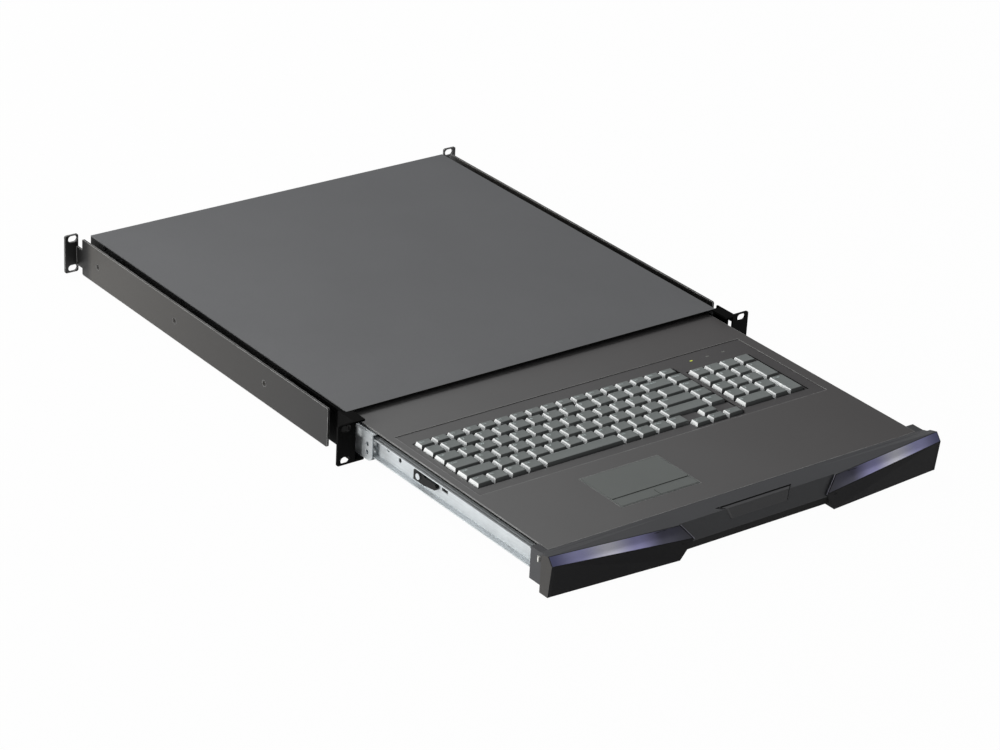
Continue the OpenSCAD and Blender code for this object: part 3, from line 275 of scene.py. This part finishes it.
# fine grain and slow clouding of a painted or moulded surface
def makeGrainGroup():
    group, inside, outside = newGroup(
        "surfaceGrain",
        [("Color", "NodeSocketColor", (0.5, 0.5, 0.5, 1)), ("Scale", "NodeSocketFloat", 1500.0),
         ("Clouding", "NodeSocketFloat", 0.06), ("Roughness", "NodeSocketFloat", 0.5),
         ("Depth", "NodeSocketFloat", 0.15), ("Speckle", "NodeSocketFloat", 0.1)], surfaceOutputs)
    coords = addPlace(group)
    fine = addNoise(group, coords, inside.outputs["Scale"], detail=3.0)
    slow = addNoise(group, coords, scale=9.0, detail=4.0, roughness=0.6)
    cloud = addMath(group, "MULTIPLY", addSpan(group, slow, 0.3, 0.7), inside.outputs["Clouding"])
    speck = addMath(group, "MULTIPLY", addSpan(group, fine, 0.35, 0.65), inside.outputs["Speckle"])
    endSurface(group, inside, outside, addMath(group, "ADD", cloud, speck), fine, inside.outputs["Depth"])
    return group


# a mask along the edges of a piece, broken up as wear is; materials lighten their edges with it, partly as
# worn paint and partly as a painted highlight
def makeEdgeGroup():
    group, inside, outside = newGroup(
        "edgeWearAndHighlight", [("Radius", "NodeSocketFloat", 0.0006), ("Amount", "NodeSocketFloat", 0.5)],
        [("Mask", "NodeSocketFloat")])
    soft = addNode(group, "ShaderNodeBevel", {"Radius": inside.outputs["Radius"]}, samples=4)
    sharp = addNode(group, "ShaderNodeNewGeometry")
    match = addVectorMath(group, "DOT_PRODUCT", {0: soft.outputs["Normal"], 1: sharp.outputs["Normal"]},
                          "Value")
    near = addSpan(group, match, 0.99, 0.8, start=0.0)
    ragged = addSpan(group, addNoise(group, addPlace(group), scale=60.0, detail=5.0), 0.3, 0.7, start=0.4)
    wornAndLit = addMath(group, "MULTIPLY", near, ragged)
    feed(group, outside, {"Mask": addMath(group, "MULTIPLY", wornAndLit, inside.outputs["Amount"])})
    return group


# drawn lines and dull patches of plated steel, along Y
def makeBrushGroup():
    group, inside, outside = newGroup(
        "drawnSteel",
        [("Color", "NodeSocketColor", (0.7, 0.7, 0.7, 1)), ("Roughness", "NodeSocketFloat", 0.3),
         ("Streaks", "NodeSocketFloat", 0.15)], surfaceOutputs)
    coords = addPlace(group)
    along = addNode(group, "ShaderNodeMapping", {"Vector": coords, "Scale": (900, 12, 900)})
    lines = addNoise(group, along.outputs[0], scale=1.0, detail=2.0)
    patch = addNoise(group, coords, scale=55.0, detail=4.0)
    streak = addSpan(group, addMath(group, "ADD", lines, patch), 0.7, 1.3)
    change = addMath(group, "MULTIPLY", streak, inside.outputs["Streaks"])
    endSurface(group, inside, outside, change, lines, strength=0.08)
    return group


surfaceGrain = makeGrainGroup()
edgeWearAndHighlight = makeEdgeGroup()
drawnSteel = makeBrushGroup()


# a linear colour from an sRGB level, 0 to 255, or three of them
def toLinear(level):
    def linear(v):
        v = v / 255
        return v / 12.92 if v < 0.04045 else ((v + 0.055) / 1.055) ** 2.4
    if isinstance(level, (int, float)):
        level = (level,) * 3
    return tuple(linear(v) for v in level) + (1,)


def newMaterial(name):
    mat = bpy.data.materials.new(name)
    mat.use_nodes = True
    tree = mat.node_tree
    return mat, tree, tree.nodes["Principled BSDF"]


# levels holds pairs of a share of the way and a level
def addRamp(tree, value, levels, ease="LINEAR"):
    ramp = addNode(tree, "ShaderNodeValToRGB", {"Fac": value})
    ramp.color_ramp.interpolation = ease
    while len(ramp.color_ramp.elements) < len(levels):
        ramp.color_ramp.elements.new(0.5)
    for element, (share, level) in zip(ramp.color_ramp.elements, levels):
        element.position = share
        element.color = toLinear(level)
    return ramp.outputs["Color"]


# a colour that changes along a line, whose start and end are in metres
def addRun(tree, start, end, levels):
    run = Vector(end) - Vector(start)
    away = addVectorMath(tree, "SUBTRACT", {0: addPlace(tree), 1: start})
    share = addVectorMath(tree, "DOT_PRODUCT", {0: away, 1: run / run.length_squared}, "Value")
    return addRamp(tree, share, levels)


# color is a level, or a dictionary for addRun; edge is the level of the edges, lightened partly as wear and
# partly as a painted highlight
def paintMaterial(name, color, rough=0.5, scale=1500.0, clouding=0.05, depth=0.15, speckle=0.08,
                  edge=None, edgeAmount=0.5, edgeRadius=0.0006, metallic=0.0, specular=0.5):
    mat, tree, shader = newMaterial(name)
    base = addRun(tree, **color) if isinstance(color, dict) else toLinear(color)
    grain = addGroup(tree, surfaceGrain, Color=base, Scale=scale, Clouding=clouding, Roughness=rough,
                     Depth=depth, Speckle=speckle)
    tint = grain.outputs["Color"]
    if edge:
        edgeWearAndLight = addGroup(tree, edgeWearAndHighlight, Radius=edgeRadius, Amount=edgeAmount)
        tint = addNode(tree, "ShaderNodeMix", {0: edgeWearAndLight.outputs["Mask"], 6: tint, 7: toLinear(edge)},
                       data_type="RGBA").outputs[2]
    feed(tree, shader, {"Base Color": tint, "Roughness": grain.outputs["Roughness"],
                        "Normal": grain.outputs["Normal"], "Metallic": metallic,
                        "Specular IOR Level": specular})
    return mat


def steelMaterial(name, color, rough=0.3, streaks=0.12, metallic=1.0):
    mat, tree, shader = newMaterial(name)
    brush = addGroup(tree, drawnSteel, Color=toLinear(color), Roughness=rough, Streaks=streaks)
    feed(tree, shader, {"Base Color": brush.outputs["Color"], "Roughness": brush.outputs["Roughness"],
                        "Normal": brush.outputs["Normal"], "Metallic": metallic})
    return mat


# grey cover paint with painted shade, lighter at the front and darker towards the back; its edges get a
# painted highlight
coverPaintShaded = paintMaterial(
    "coverPaintShaded", dict(start=(-0.2, 0.02, 0), end=(0.2, 0.48, 0),
                       levels=((0, (100, 101, 103)), (1, (92, 93, 95)))),
    rough=0.42, clouding=0.03, edge=125, edgeAmount=0.35)
housingPaint = paintMaterial("housingPaint", 14, edge=60, edgeAmount=0.2, specular=0.2)
# black bracket paint with painted light: darkest at the front, lighter towards the rear, then near-black
# painted shade on the rear ear; its edges get a strong painted highlight
railPaintShaded = paintMaterial(
    "railPaintShaded", dict(start=(0, 0.04, 0), end=(0, 0.49, 0),
                      levels=((0, (22, 21, 20)), (0.45, (44, 42, 40)), (0.93, (66, 64, 61)),
                              (0.95, 24), (1, 12))),
    rough=0.45, edge=200, edgeAmount=0.9, edgeRadius=0.0012)
plateScrew = paintMaterial("plateScrew", (42, 40, 38), specular=0.3)
earPaint = paintMaterial("earPaint", 3, edge=44, edgeAmount=0.25, specular=0.04)
# deck paint with painted shade, lighter on the left and darker to the right, and a strong painted highlight
# along its edges
deckPaintShaded = paintMaterial(
    "deckPaintShaded", dict(start=(-0.2, -0.15, 0), end=(0.2, -0.2, 0), levels=((0, 94), (1, (74, 72, 72)))),
    clouding=0.03, depth=0.25, edge=215, edgeAmount=0.8, edgeRadius=0.001)
# keyboard frame plastic with painted shade, lighter on the left and darker to the right
framePlasticShaded = paintMaterial(
    "framePlasticShaded", dict(start=(-0.2, -0.1, 0), end=(0.2, -0.1, 0), levels=((0, 88), (1, (66, 64, 65)))),
    rough=0.55, edge=50, edgeAmount=0.3)
keyPlastic = paintMaterial("keyPlastic", (118, 123, 122), rough=0.35, clouding=0.04, depth=0.1, scale=2500.0)
# lit and shaded copies of the key plastic: near-white sides as a painted highlight, darker fronts as painted
# shade
keySideHighlight = paintMaterial("keySideHighlight", (238, 240, 240), rough=0.4, clouding=0.04, depth=0.1, scale=2500.0)
keyFrontShade = paintMaterial("keyFrontShade", (88, 91, 91), rough=0.45, clouding=0.04, depth=0.1, scale=2500.0)
# darker and lighter copies of the black handle plastic: painted shade on the wings' front faces, painted
# light on the handle's outer sides
wingFrontShade = paintMaterial("wingFrontShade", (20, 20, 22), rough=0.6, depth=0.35, scale=1100.0, speckle=0.12,
                            edge=60, edgeAmount=0.35, specular=0.12)
flankLitPlastic = paintMaterial("flankLitPlastic", (52, 50, 48), depth=0.3, scale=1100.0)
keyPrint = paintMaterial("keyPrint", (205, 218, 218), clouding=0.08, depth=0.05)
padPlastic = paintMaterial("padPlastic", (102, 106, 104), rough=0.45, clouding=0.03, depth=0.2, scale=3000.0)
handlePlastic = paintMaterial("handlePlastic", (58, 59, 62), rough=0.45, depth=0.35, scale=1100.0,
                              speckle=0.1, edge=80, edgeAmount=0.35)
buttonPlastic = paintMaterial("buttonPlastic", (64, 64, 66), rough=0.42, depth=0.3, scale=1100.0, edge=120)
rodPlastic = paintMaterial("rodPlastic", (225, 225, 220), rough=0.4, depth=0.05)
leverPlastic = paintMaterial("leverPlastic", 6, rough=0.4, edge=60, edgeAmount=0.3, specular=0.2)
blackScrew = paintMaterial("blackScrew", 40, rough=0.35, metallic=0.8, scale=2500.0)
membraneRubber = paintMaterial("membraneRubber", (150, 155, 150), rough=0.7)
boardGreen = paintMaterial("boardGreen", (24, 84, 52), rough=0.35, scale=300.0, speckle=0.3)
socketBlue = paintMaterial("socketBlue", (38, 62, 128), rough=0.4)
# near-black painted shade for hollows and gaps
pocketShade = paintMaterial("pocketShade", 2, rough=0.8, specular=0.1)
rimHighlight = paintMaterial("rimHighlight", (128, 126, 140), rough=0.35, metallic=0.2)
contactGold = steelMaterial("contactGold", (200, 170, 90), streaks=0.05)
brightZinc = steelMaterial("brightZinc", (210, 215, 218), rough=0.45, streaks=0.08, metallic=0.35)
dullZinc = steelMaterial("dullZinc", (165, 168, 172), rough=0.38, streaks=0.15)
cageBrass = steelMaterial("cageBrass", (190, 180, 150), rough=0.35)
portNickel = steelMaterial("portNickel", (190, 192, 195), rough=0.25, streaks=0.06)

# the ramp's ends in metres, and its colours on the way in: the lilac tint with a painted reflection,
# brightest near the outer part and darkening towards the middle
stripTintAndReflection = dict(outer=0.223, inner=0.078, metallic=0.35,
                    levels=((0.0, (116, 118, 160)), (0.2, (188, 188, 236)), (0.4, (240, 240, 255)),
                            (0.6, (166, 164, 212)), (0.8, (78, 78, 96)), (1.0, (56, 56, 66))),
                    grain=dict(Scale=2500.0, Clouding=0.03, Roughness=0.32, Depth=0.08, Speckle=0.06))


# satin lilac lacquer with a painted reflection that fades darker towards the middle of the handle
def stripMaterial(name, spec, side):
    mat, tree, shader = newMaterial(name)
    axes = addNode(tree, "ShaderNodeSeparateXYZ", {0: addPlace(tree)})
    share = addSpan(tree, axes.outputs["X"], side * spec["outer"], side * spec["inner"], start=0.0)
    grain = addGroup(tree, surfaceGrain, Color=addRamp(tree, share, spec["levels"], "EASE"), **spec["grain"])
    feed(tree, shader, {"Base Color": grain.outputs["Color"], "Roughness": grain.outputs["Roughness"],
                        "Normal": grain.outputs["Normal"], "Metallic": spec["metallic"]})
    return mat


def lensMaterial(name, color, glow):
    mat, tree, shader = newMaterial(name)
    grain = addGroup(tree, surfaceGrain, Color=toLinear(color), Roughness=0.2)
    feed(tree, shader, {"Base Color": grain.outputs["Color"], "Roughness": grain.outputs["Roughness"],
                        "Emission Color": grain.outputs["Color"], "Emission Strength": glow})
    return mat


lensLit = lensMaterial("lensLit", (190, 200, 60), glow=0.7)
lensDark = lensMaterial("lensDark", (120, 122, 118), glow=0.0)
print("materials made")

nodeFinish = {
    coverPaintShaded: ["top_cover"],
    housingPaint: ["chassis_base", "rear_panel", "tray_pan"],
    railPaintShaded: ["rear_bracket_left", "rear_bracket_right"],
    plateScrew: ["bracket_screws"],
    earPaint: ["front_bracket_left", "front_bracket_right"],
    dullZinc: ["slide_outer_left", "slide_outer_right", "bracket_standoffs", "keyboard_back_plate"],
    brightZinc: ["slide_middle_left", "slide_middle_right", "slide_inner_left", "slide_inner_right"],
    cageBrass: ["outer_cage_left", "outer_cage_right", "inner_cage_left", "inner_cage_right"],
    blackScrew: ["cover_screws", "handle_screws"],
    leverPlastic: ["release_lever_left", "release_lever_right", "keyboard_guide_plate"],
    deckPaintShaded: ["deck_panel"],
    framePlasticShaded: ["keyboard_frame"],
    padPlastic: ["touchpad_frame", "touch_surface", "touchpad_button_left", "touchpad_button_right"],
    handlePlastic: ["front_handle"],
    buttonPlastic: ["latch_button"],
    rodPlastic: ["latch_rod_left", "latch_rod_right"],
    membraneRubber: ["keyboard_membrane"],
    boardGreen: ["keyboard_controller", "touchpad_board", "switch_board"],
    lensDark: ["status_leds"],
    portNickel: ["switch_ports"],
}
for finish, names in nodeFinish.items():
    for name in names:
        dress(nodes[name], finish)

# zones of the handle: the front faces of its wings are darkened as painted shade, its outer sides lightened
# as painted light, and the underside of the finger pull and the button's pocket painted near-black as painted
# shade; Face and Tilt are limits for the normals of their faces
handleZones = dict(y=-277, inner=76, outer=222.9, wingFace=0.5, wingTilt=0.35, pullX=90, pullFrom=10,
                   pullFace=0.2, pocketX=42, pocketBack=12.8, pocketFront=23, pocketFloor=7.3, wallFace=0.5,
                   slack=1)


def dressHandle(spec):
    handle = nodes["front_handle"]

    def inWing(c, n):
        return n.y < -spec["wingFace"] and n.z < spec["wingTilt"] and abs(c.x) > spec["inner"]

    def inPull(c, n):
        return n.z < -spec["pullFace"] and c.y < spec["y"] - spec["pullFrom"] and abs(c.x) < spec["pullX"]

    def inPocket(c, n):
        deep = spec["y"] - c.y
        backWall = n.y < -facing and abs(deep - spec["pocketBack"]) < spec["slack"]
        sideWall = abs(n.x) > spec["wallFace"] and deep < spec["pocketFront"]
        floor = n.z > facing and c.z < spec["pocketFloor"]
        near = abs(c.x) < spec["pocketX"] and deep > spec["pocketBack"] - spec["slack"]
        return near and (backWall or sideWall or floor)

    # painted shade on the wing fronts, painted light on the outer sides, near-black painted shade in the pull
    # and the pocket
    dressFaces(handle, wingFrontShade, inWing)
    dressFaces(handle, flankLitPlastic, lambda c, n: abs(c.x) > spec["outer"])
    dressFaces(handle, pocketShade, lambda c, n: inPull(c, n) or inPocket(c, n))


dressHandle(handleZones)
# the cover's front edge faces get the black housing paint as a painted shadow
coverFrontShade = dict(y=22.5, face=0.7)  # the cover's front edge lies before this y
dressFaces(nodes["top_cover"], housingPaint,
           lambda c, n: n.y < -coverFrontShade["face"] and c.y < coverFrontShade["y"])
print("nodes dressed")

# rimShare is the part of the dish's depth at its rim, and bowl the width of its slope; flat and the two face
# limits after it are limits for the normals of faces, the sides facing X getting a painted highlight and the
# sides facing Y a painted shade
keyCap = dict(top=17.0, foot=12.4, taper=1.4, edge=0.55, rim=1.1, dish=0.22, rimShare=0.6, bowl=1.8,
              width=17.45, depth=15.4, flat=0.99, slack=0.1, highlightFace=0.55, shadeFace=0.6)
keyText = dict(letter=4.6, word=3.3, capShare=0.72, tall=0.02, lift=0.03, inset=0.6)
keyRows = {
    "keys_function": "Esc F1 F2 F3 F4 F5 F6 F7 F8 F9 F10 F11 F12 Prt Scr Brk Ins",
    "keys_number": "` 1 2 3 4 5 6 7 8 9 0 - =",
    "key_backspace": "Backspace",
    "key_tab": "Tab",
    "keys_upper": "Q W E R T Y U I O P [ ] \\",
    "key_caps_lock": "Caps",
    "keys_home": "A S D F G H J K L ; '",
    "key_enter": "Enter",
    "key_shift_left": "Shift",
    "keys_lower": "Z X C V B N M , . /",
    "key_shift_right": "Shift",
    "keys_modifier": "Ctrl Fn Alt Del Alt Fn Menu Ctrl",
    "space_bar": "",
    "keys_arrow": "^ < v >",
    "keys_navigation": "Home PgUp PgDn End",
    "keys_numpad": "Num / * - 7 8 9 4 5 6 1 2 3 0 .",
    "numpad_plus": "+",
    "numpad_enter": "Enter",
}


def makeMasterCap(spec):
    w, d = spec["width"] / 2, spec["depth"] / 2
    obj = addCube("masterCap", (-w, -d, spec["foot"]), (w, d, spec["top"]))
    pickFaces(obj, lambda c, n: n.z > facing)
    bpy.ops.transform.resize(value=(1 - spec["taper"] / w, 1 - spec["taper"] / d, 1))
    leaveEdit()
    bevelEdges(obj, spec["edge"])
    pickFaces(obj, lambda c, n: n.z > spec["flat"] and c.z > (spec["top"] - spec["slack"]) * mm)
    for width, share in ((spec["rim"], spec["rimShare"]), (spec["bowl"], 1 - spec["rimShare"])):
        bpy.ops.mesh.inset(thickness=width * mm)
        bpy.ops.transform.translate(value=(0, 0, -spec["dish"] * share * mm))
    leaveEdit()
    smooth(obj, 40)
    dress(obj, keyPlastic)
    # painted highlight on the sides facing X, painted shade on the sides facing Y
    dressFaces(obj, keySideHighlight, lambda c, n: abs(n.x) > spec["highlightFace"])
    dressFaces(obj, keyFrontShade, lambda c, n: abs(n.y) > spec["shadeFace"])
    return obj


# the boxes of a node's separate solids, row by row from the back and from left to right
def solidBoxes(node):
    deselectAll()
    copy = nodes[node].copy()
    copy.data = nodes[node].data.copy()
    copy.parent = None
    bpy.context.scene.collection.objects.link(copy)
    makeActive(copy)
    bpy.ops.object.mode_set(mode="EDIT")
    bpy.ops.mesh.select_all(action="SELECT")
    bpy.ops.mesh.remove_doubles(threshold=0.00001)
    bpy.ops.mesh.separate(type="LOOSE")
    bpy.ops.object.mode_set(mode="OBJECT")
    parts = list(bpy.context.selected_objects)
    boxes = []
    for part in parts:
        points = [v.co / mm for v in part.data.vertices]
        boxes.append((min(p.x for p in points), max(p.x for p in points),
                      min(p.y for p in points), max(p.y for p in points)))
    for part in parts:
        bpy.data.objects.remove(part)
    return sorted(boxes, key=lambda b: (-round((b[2] + b[3]) / 2), b[0]))


def addLegend(text, box, spec, ink):
    size = ink["word"] if len(text) > 1 else ink["letter"]
    deselectAll()
    bpy.ops.object.text_add(location=(0, 0, 0))
    obj = bpy.context.object
    obj.data.body = text
    obj.data.size = size * mm
    obj.data.resolution_u = 2
    obj.data.extrude = ink["tall"] * mm
    bpy.ops.object.convert(target="MESH")
    obj = bpy.context.object
    inset = spec["taper"] + spec["rim"] + ink["inset"]
    shift = Vector((box[0] + inset, box[3] - inset - size * ink["capShare"],
                    spec["top"] - spec["dish"] * spec["rimShare"] + ink["lift"]))
    obj.data.transform(Matrix.Translation(shift * mm))
    dress(obj, keyPrint)
    return obj


def makeKeys(spec, ink):
    master = makeMasterCap(spec)
    for node, words in keyRows.items():
        boxes = solidBoxes(node)
        legends = words.split() + [""] * len(boxes)
        parts, prints = [], []
        for box, text in zip(boxes, legends):
            cap = copyTo(master, (0, 0, 0))
            grow = ((box[1] - box[0] - spec["width"]) / 2, (box[3] - box[2] - spec["depth"]) / 2)
            centre = ((box[0] + box[1]) / 2, (box[2] + box[3]) / 2)
            for v in cap.data.vertices:
                v.co.x += (math.copysign(1, v.co.x) * grow[0] + centre[0]) * mm
                v.co.y += (math.copysign(1, v.co.y) * grow[1] + centre[1]) * mm
            parts.append(cap)
            if text:
                prints.append(addLegend(text, box, spec, ink))
        caps = joinAll("caps_" + node, parts + prints)
        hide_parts(node)
        place(caps, node)
    bpy.data.objects.remove(master)


makeKeys(keyCap, keyText)

# blank plates on both sides of the upper arrow key
arrowBlank = dict(low=10.1, high=14.0, front=-146.4, back=-133.6, left=(44.7, 63.9), right=(82.6, 102.2),
                  edge=0.3, rim=0.8, sink=0.15)


def makeBlank(spec, side):
    x0, x1 = spec[side]
    blank = addCube("arrow_blank_" + side, (x0, spec["front"], spec["low"]), (x1, spec["back"], spec["high"]))
    bevelEdges(blank, spec["edge"])
    pickFaces(blank, lambda c, n: n.z > facing)
    bpy.ops.mesh.inset(thickness=spec["rim"] * mm)
    bpy.ops.transform.translate(value=(0, 0, -spec["sink"] * mm))
    leaveEdit()
    smooth(blank)
    dress(blank, framePlasticShaded)
    place(blank, "tray")


for side in ("left", "right"):
    makeBlank(arrowBlank, side)
print("keys made")

# crest and foot of the wing's slope, as distance before y and height, at the outer and the inner end
wingStrip = dict(y=-277, outX=222.6, crestX=89.2, footX=76.1, crest=(9, 18.4), foot=(14.9, 11),
                 inCrest=(20.2, 15.8), inFoot=(25.4, 1.4), steps=14, endGap=0.004, length=0.985,
                 edgeGap=0.05, height=0.9, crown=1.5, rise=0.12, lean=(0.75, 0.6), thick=0.5, offset=-0.6)
wingRim = dict(radius=0.5, sides=8, crestIn=0.6, crestOut=0.2, footIn=0.1, footBack=0.2, taper=0.5)


# a point of the crest or the foot, s from 0 at the outer end to 1 at the inner end
def slopePoint(outX, inX, outer, inner, s):
    return Vector((outX + (inX - outX) * s, outer[0] + (inner[0] - outer[0]) * s,
                   outer[1] + (inner[1] - outer[1]) * s))


def makeStrip(spec, side):
    deselectAll()
    bpy.ops.mesh.primitive_grid_add(x_subdivisions=spec["steps"], y_subdivisions=3, size=1)
    obj = bpy.context.object
    obj.name = "wing_strip_" + sideName(side)
    for v in obj.data.vertices:
        s = spec["endGap"] + (v.co.x + 0.5) * spec["length"]
        t = spec["edgeGap"] + (v.co.y + 0.5) * spec["height"]
        top = slopePoint(spec["outX"], spec["crestX"], spec["crest"], spec["inCrest"], s)
        foot = slopePoint(spec["outX"], spec["footX"], spec["foot"], spec["inFoot"], s)
        point = top.lerp(foot, t)
        lift = spec["crown"] * 4 * s * (1 - s) * 4 * t * (1 - t) + spec["rise"]
        forward, up = (lift * share for share in spec["lean"])
        v.co = Vector((side * point.x, spec["y"] - point.y - forward, point.z + up)) * mm
    makeActive(obj)
    bpy.ops.object.mode_set(mode="EDIT")
    bpy.ops.mesh.select_all(action="SELECT")
    bpy.ops.mesh.normals_make_consistent(inside=False)
    leaveEdit()
    if obj.data.polygons[0].normal.z < 0:
        bpy.ops.object.mode_set(mode="EDIT")
        bpy.ops.mesh.flip_normals()
        leaveEdit()
    thicken(obj, spec["thick"], spec["offset"])
    smooth(obj, 40)
    dress(obj, stripMaterial("stripTintAndReflection" + sideName(side).title(), stripTintAndReflection, side))
    place(obj, "tray")


# slim ridge at the inner end of a strip, coloured light as a painted highlight line
def makeRim(spec, rimSpec, side):
    crest = (side * (spec["crestX"] - rimSpec["crestIn"]),
             spec["y"] - spec["inCrest"][0] - rimSpec["crestOut"], spec["inCrest"][1])
    foot = (side * (spec["footX"] - rimSpec["footIn"]),
            spec["y"] - spec["inFoot"][0] + rimSpec["footBack"], spec["inFoot"][1])
    rim = addRod("wing_rim_" + sideName(side), foot, crest, rimSpec["radius"], rimSpec["sides"])
    pickFaces(rim, lambda c, n: (c / mm - Vector(crest)).length < 1)
    bpy.ops.transform.resize(value=(rimSpec["taper"],) * 3)
    leaveEdit()
    smooth(rim, 50)
    dress(rim, rimHighlight)
    place(rim, "tray")


for side in (-1, 1):
    makeStrip(wingStrip, side)
    makeRim(wingStrip, wingRim, side)
print("strips made")

# thin rim round the touch pad and its buttons
padBezel = dict(low=(-110.6, -244.3), high=(-22.5, -184.0), wide=1.15, foot=14.6, tall=0.22, edge=0.08)


def makeBezel(spec):
    deselectAll()
    bpy.ops.mesh.primitive_plane_add(size=1)
    bezel = bpy.context.object
    bezel.name = "pad_bezel"
    for v in bezel.data.vertices:
        spot = [spec["low"][i] if v.co[i] < 0 else spec["high"][i] for i in range(2)]
        v.co = Vector((spot[0], spot[1], spec["foot"])) * mm
    pickFaces(bezel, lambda c, n: True)
    bpy.ops.mesh.inset(thickness=spec["wide"] * mm)
    bpy.ops.mesh.delete(type="FACE")
    leaveEdit()
    thicken(bezel, spec["tall"], 1)
    bevelEdges(bezel, spec["edge"])
    smooth(bezel)
    dress(bezel, padPlastic)
    place(bezel, "tray")


makeBezel(padBezel)

# contact blocks with their pins in the video sockets at the rear, and the nuts beside these; lengths
# along Y count from the front of a block's seat, and a nut's from the panel's face
videoInsert = dict(groups=(-160.7, -39.2, 82.3), heights=(-6.7, 8.1), face=480.2, sink=1.4, edge=0.25)
contactBlock = dict(wide=20.2, thick=3.6, deep=5, out=0.9)
contactPin = dict(count=12, pitch=1.6, rows=(-0.9, 0.9), half=0.3, start=0.7, end=1.05)
jackNut = dict(x=(-16.2, 16.2), radius=2.3, sides=6, start=-0.1, end=1.6)


def makePortInserts(spec, block, pin, nut):
    front, face = spec["face"] - spec["sink"], spec["face"]
    w, t, half = block["wide"] / 2, block["thick"] / 2, pin["half"]
    blockMaster = addCube("blockMaster", (-w, front - block["deep"], -t), (w, front + block["out"], t))
    pinMaster = addCube("pinMaster", (-half, front + pin["start"], -half), (half, front + pin["end"], half))
    nutMaster = addRod("nutMaster", (0, face + nut["start"], 0), (0, face + nut["end"], 0), nut["radius"],
                       nut["sides"])
    for master in (blockMaster, nutMaster):
        bevelEdges(master, spec["edge"], 1)
    spots = [(x, z) for x in spec["groups"] for z in spec["heights"]]
    pinSteps = [(k - (pin["count"] - 1) / 2) * pin["pitch"] for k in range(pin["count"])]
    blocks = [copyTo(blockMaster, (x, 0, z)) for x, z in spots]
    pins = [copyTo(pinMaster, (x + step, 0, z + row)) for x, z in spots for row in pin["rows"]
            for step in pinSteps]
    nuts = [copyTo(nutMaster, (x + shift, 0, z)) for x, z in spots for shift in nut["x"]]
    for name, parts, mat in (("port_blocks", blocks, socketBlue), ("port_pins", pins, contactGold),
                             ("port_nuts", nuts, portNickel)):
        obj = joinAll(name, parts)
        smooth(obj)
        dress(obj, mat)
        place(obj, "chassis")
    for master in (blockMaster, pinMaster, nutMaster):
        bpy.data.objects.remove(master)


makePortInserts(videoInsert, contactBlock, contactPin, jackNut)

# matte black strip at the back edge of the latch button, a painted shadow for the gap there
buttonShadowStrip = dict(y=-277, x=40.5, back=14.4, front=15.9, low=16.5, high=16.62, taper=0.978, edge=0.04)


def makeButtonShadow(spec):
    shadowStrip = addCube("button_shadow_strip", (-spec["x"], spec["y"] - spec["front"], spec["low"]),
                   (spec["x"], spec["y"] - spec["back"], spec["high"]))
    pickFaces(shadowStrip, lambda c, n: n.y < -facing)
    bpy.ops.transform.resize(value=(spec["taper"], 1, 1))
    leaveEdit()
    bevelEdges(shadowStrip, spec["edge"])
    smooth(shadowStrip)
    dress(shadowStrip, pocketShade)
    place(shadowStrip, "latch_button")


makeButtonShadow(buttonShadowStrip)
print("small pieces made")

# the first status light is lit
litLens = dict(low=(127.5, -48.9, 13.2), high=(130.9, -47.5, 14.08), edge=0.25)


def makeLens(spec):
    lens = addCube("lit_lens", spec["low"], spec["high"])
    bevelEdges(lens, spec["edge"])
    smooth(lens)
    dress(lens, lensLit)
    place(lens, "tray")


makeLens(litLens)

# size and drop in metres; show is how white the camera sees the floor, floor and world light the object
stageSetup = dict(size=14, drop=0.0008, floor=0.6, show=0.98, world=0.24)
white = (1, 1, 1, 1)


# 1 for rays of the named kinds, otherwise 0
def addRays(tree, first, *others):
    path = addNode(tree, "ShaderNodeLightPath")
    seen = path.outputs[first]
    for kind in others:
        seen = addMath(tree, "ADD", seen, path.outputs[kind], clamp=True)
    return seen


def addStage(setup):
    deselectAll()
    bpy.ops.mesh.primitive_plane_add(size=setup["size"], location=(0, 0, cadLow.z - setup["drop"]))
    floor = bpy.context.object
    floor.name = "floor"
    mat, tree, shader = newMaterial("floorPaper")
    feed(tree, shader, {"Base Color": (setup["floor"],) * 3 + (1,), "Roughness": 0.9,
                        "Specular IOR Level": 0.0})
    glow = addNode(tree, "ShaderNodeEmission", {"Color": white, "Strength": 1.0})
    seen = addRays(tree, "Is Camera Ray", "Is Glossy Ray", "Is Transmission Ray")
    mix = addNode(tree, "ShaderNodeMixShader", {0: addMath(tree, "MULTIPLY", seen, setup["show"]),
                                                1: shader.outputs[0], 2: glow.outputs[0]})
    feed(tree, tree.nodes["Material Output"], {"Surface": mix.outputs[0]})
    dress(floor, mat)

    world = bpy.data.worlds.new("studio")
    bpy.context.scene.world = world
    world.use_nodes = True
    tree = world.node_tree
    seen = addRays(tree, "Is Camera Ray", "Is Transmission Ray")
    feed(tree, tree.nodes["Background"],
         {"Color": white, "Strength": addSpan(tree, seen, 0.0, 1.0, start=setup["world"])})


lampSetup = [
    dict(name="lampTop", place=(-0.1, 1.9, 2.4), aim=(0, 0.1, 0), size=1.5, power=52, color=(1, 1, 1)),
    dict(name="lampRearLeft", place=(-2.1, 2.0, 0.8), aim=(0, -0.1, 0), size=0.8, power=14,
         color=(0.97, 1, 1)),
    dict(name="lampLeft", place=(-2.7, 0.25, 0.45), aim=(0, 0, 0), size=1.1, power=46,
         color=(1, 0.99, 0.97)),
]


def addLamp(spec):
    data = bpy.data.lights.new(spec["name"], "AREA")
    data.size = spec["size"]
    data.energy = spec["power"]
    data.color = spec["color"]
    obj = bpy.data.objects.new(spec["name"], data)
    obj.location = spec["place"]
    obj.rotation_euler = (Vector(spec["aim"]) - Vector(spec["place"])).to_track_quat("-Z", "Y").to_euler()
    bpy.context.scene.collection.objects.link(obj)


addStage(stageSetup)
for spec in lampSetup:
    addLamp(spec)
bpy.context.scene.view_settings.view_transform = "Standard"
print("stage and lamps set")
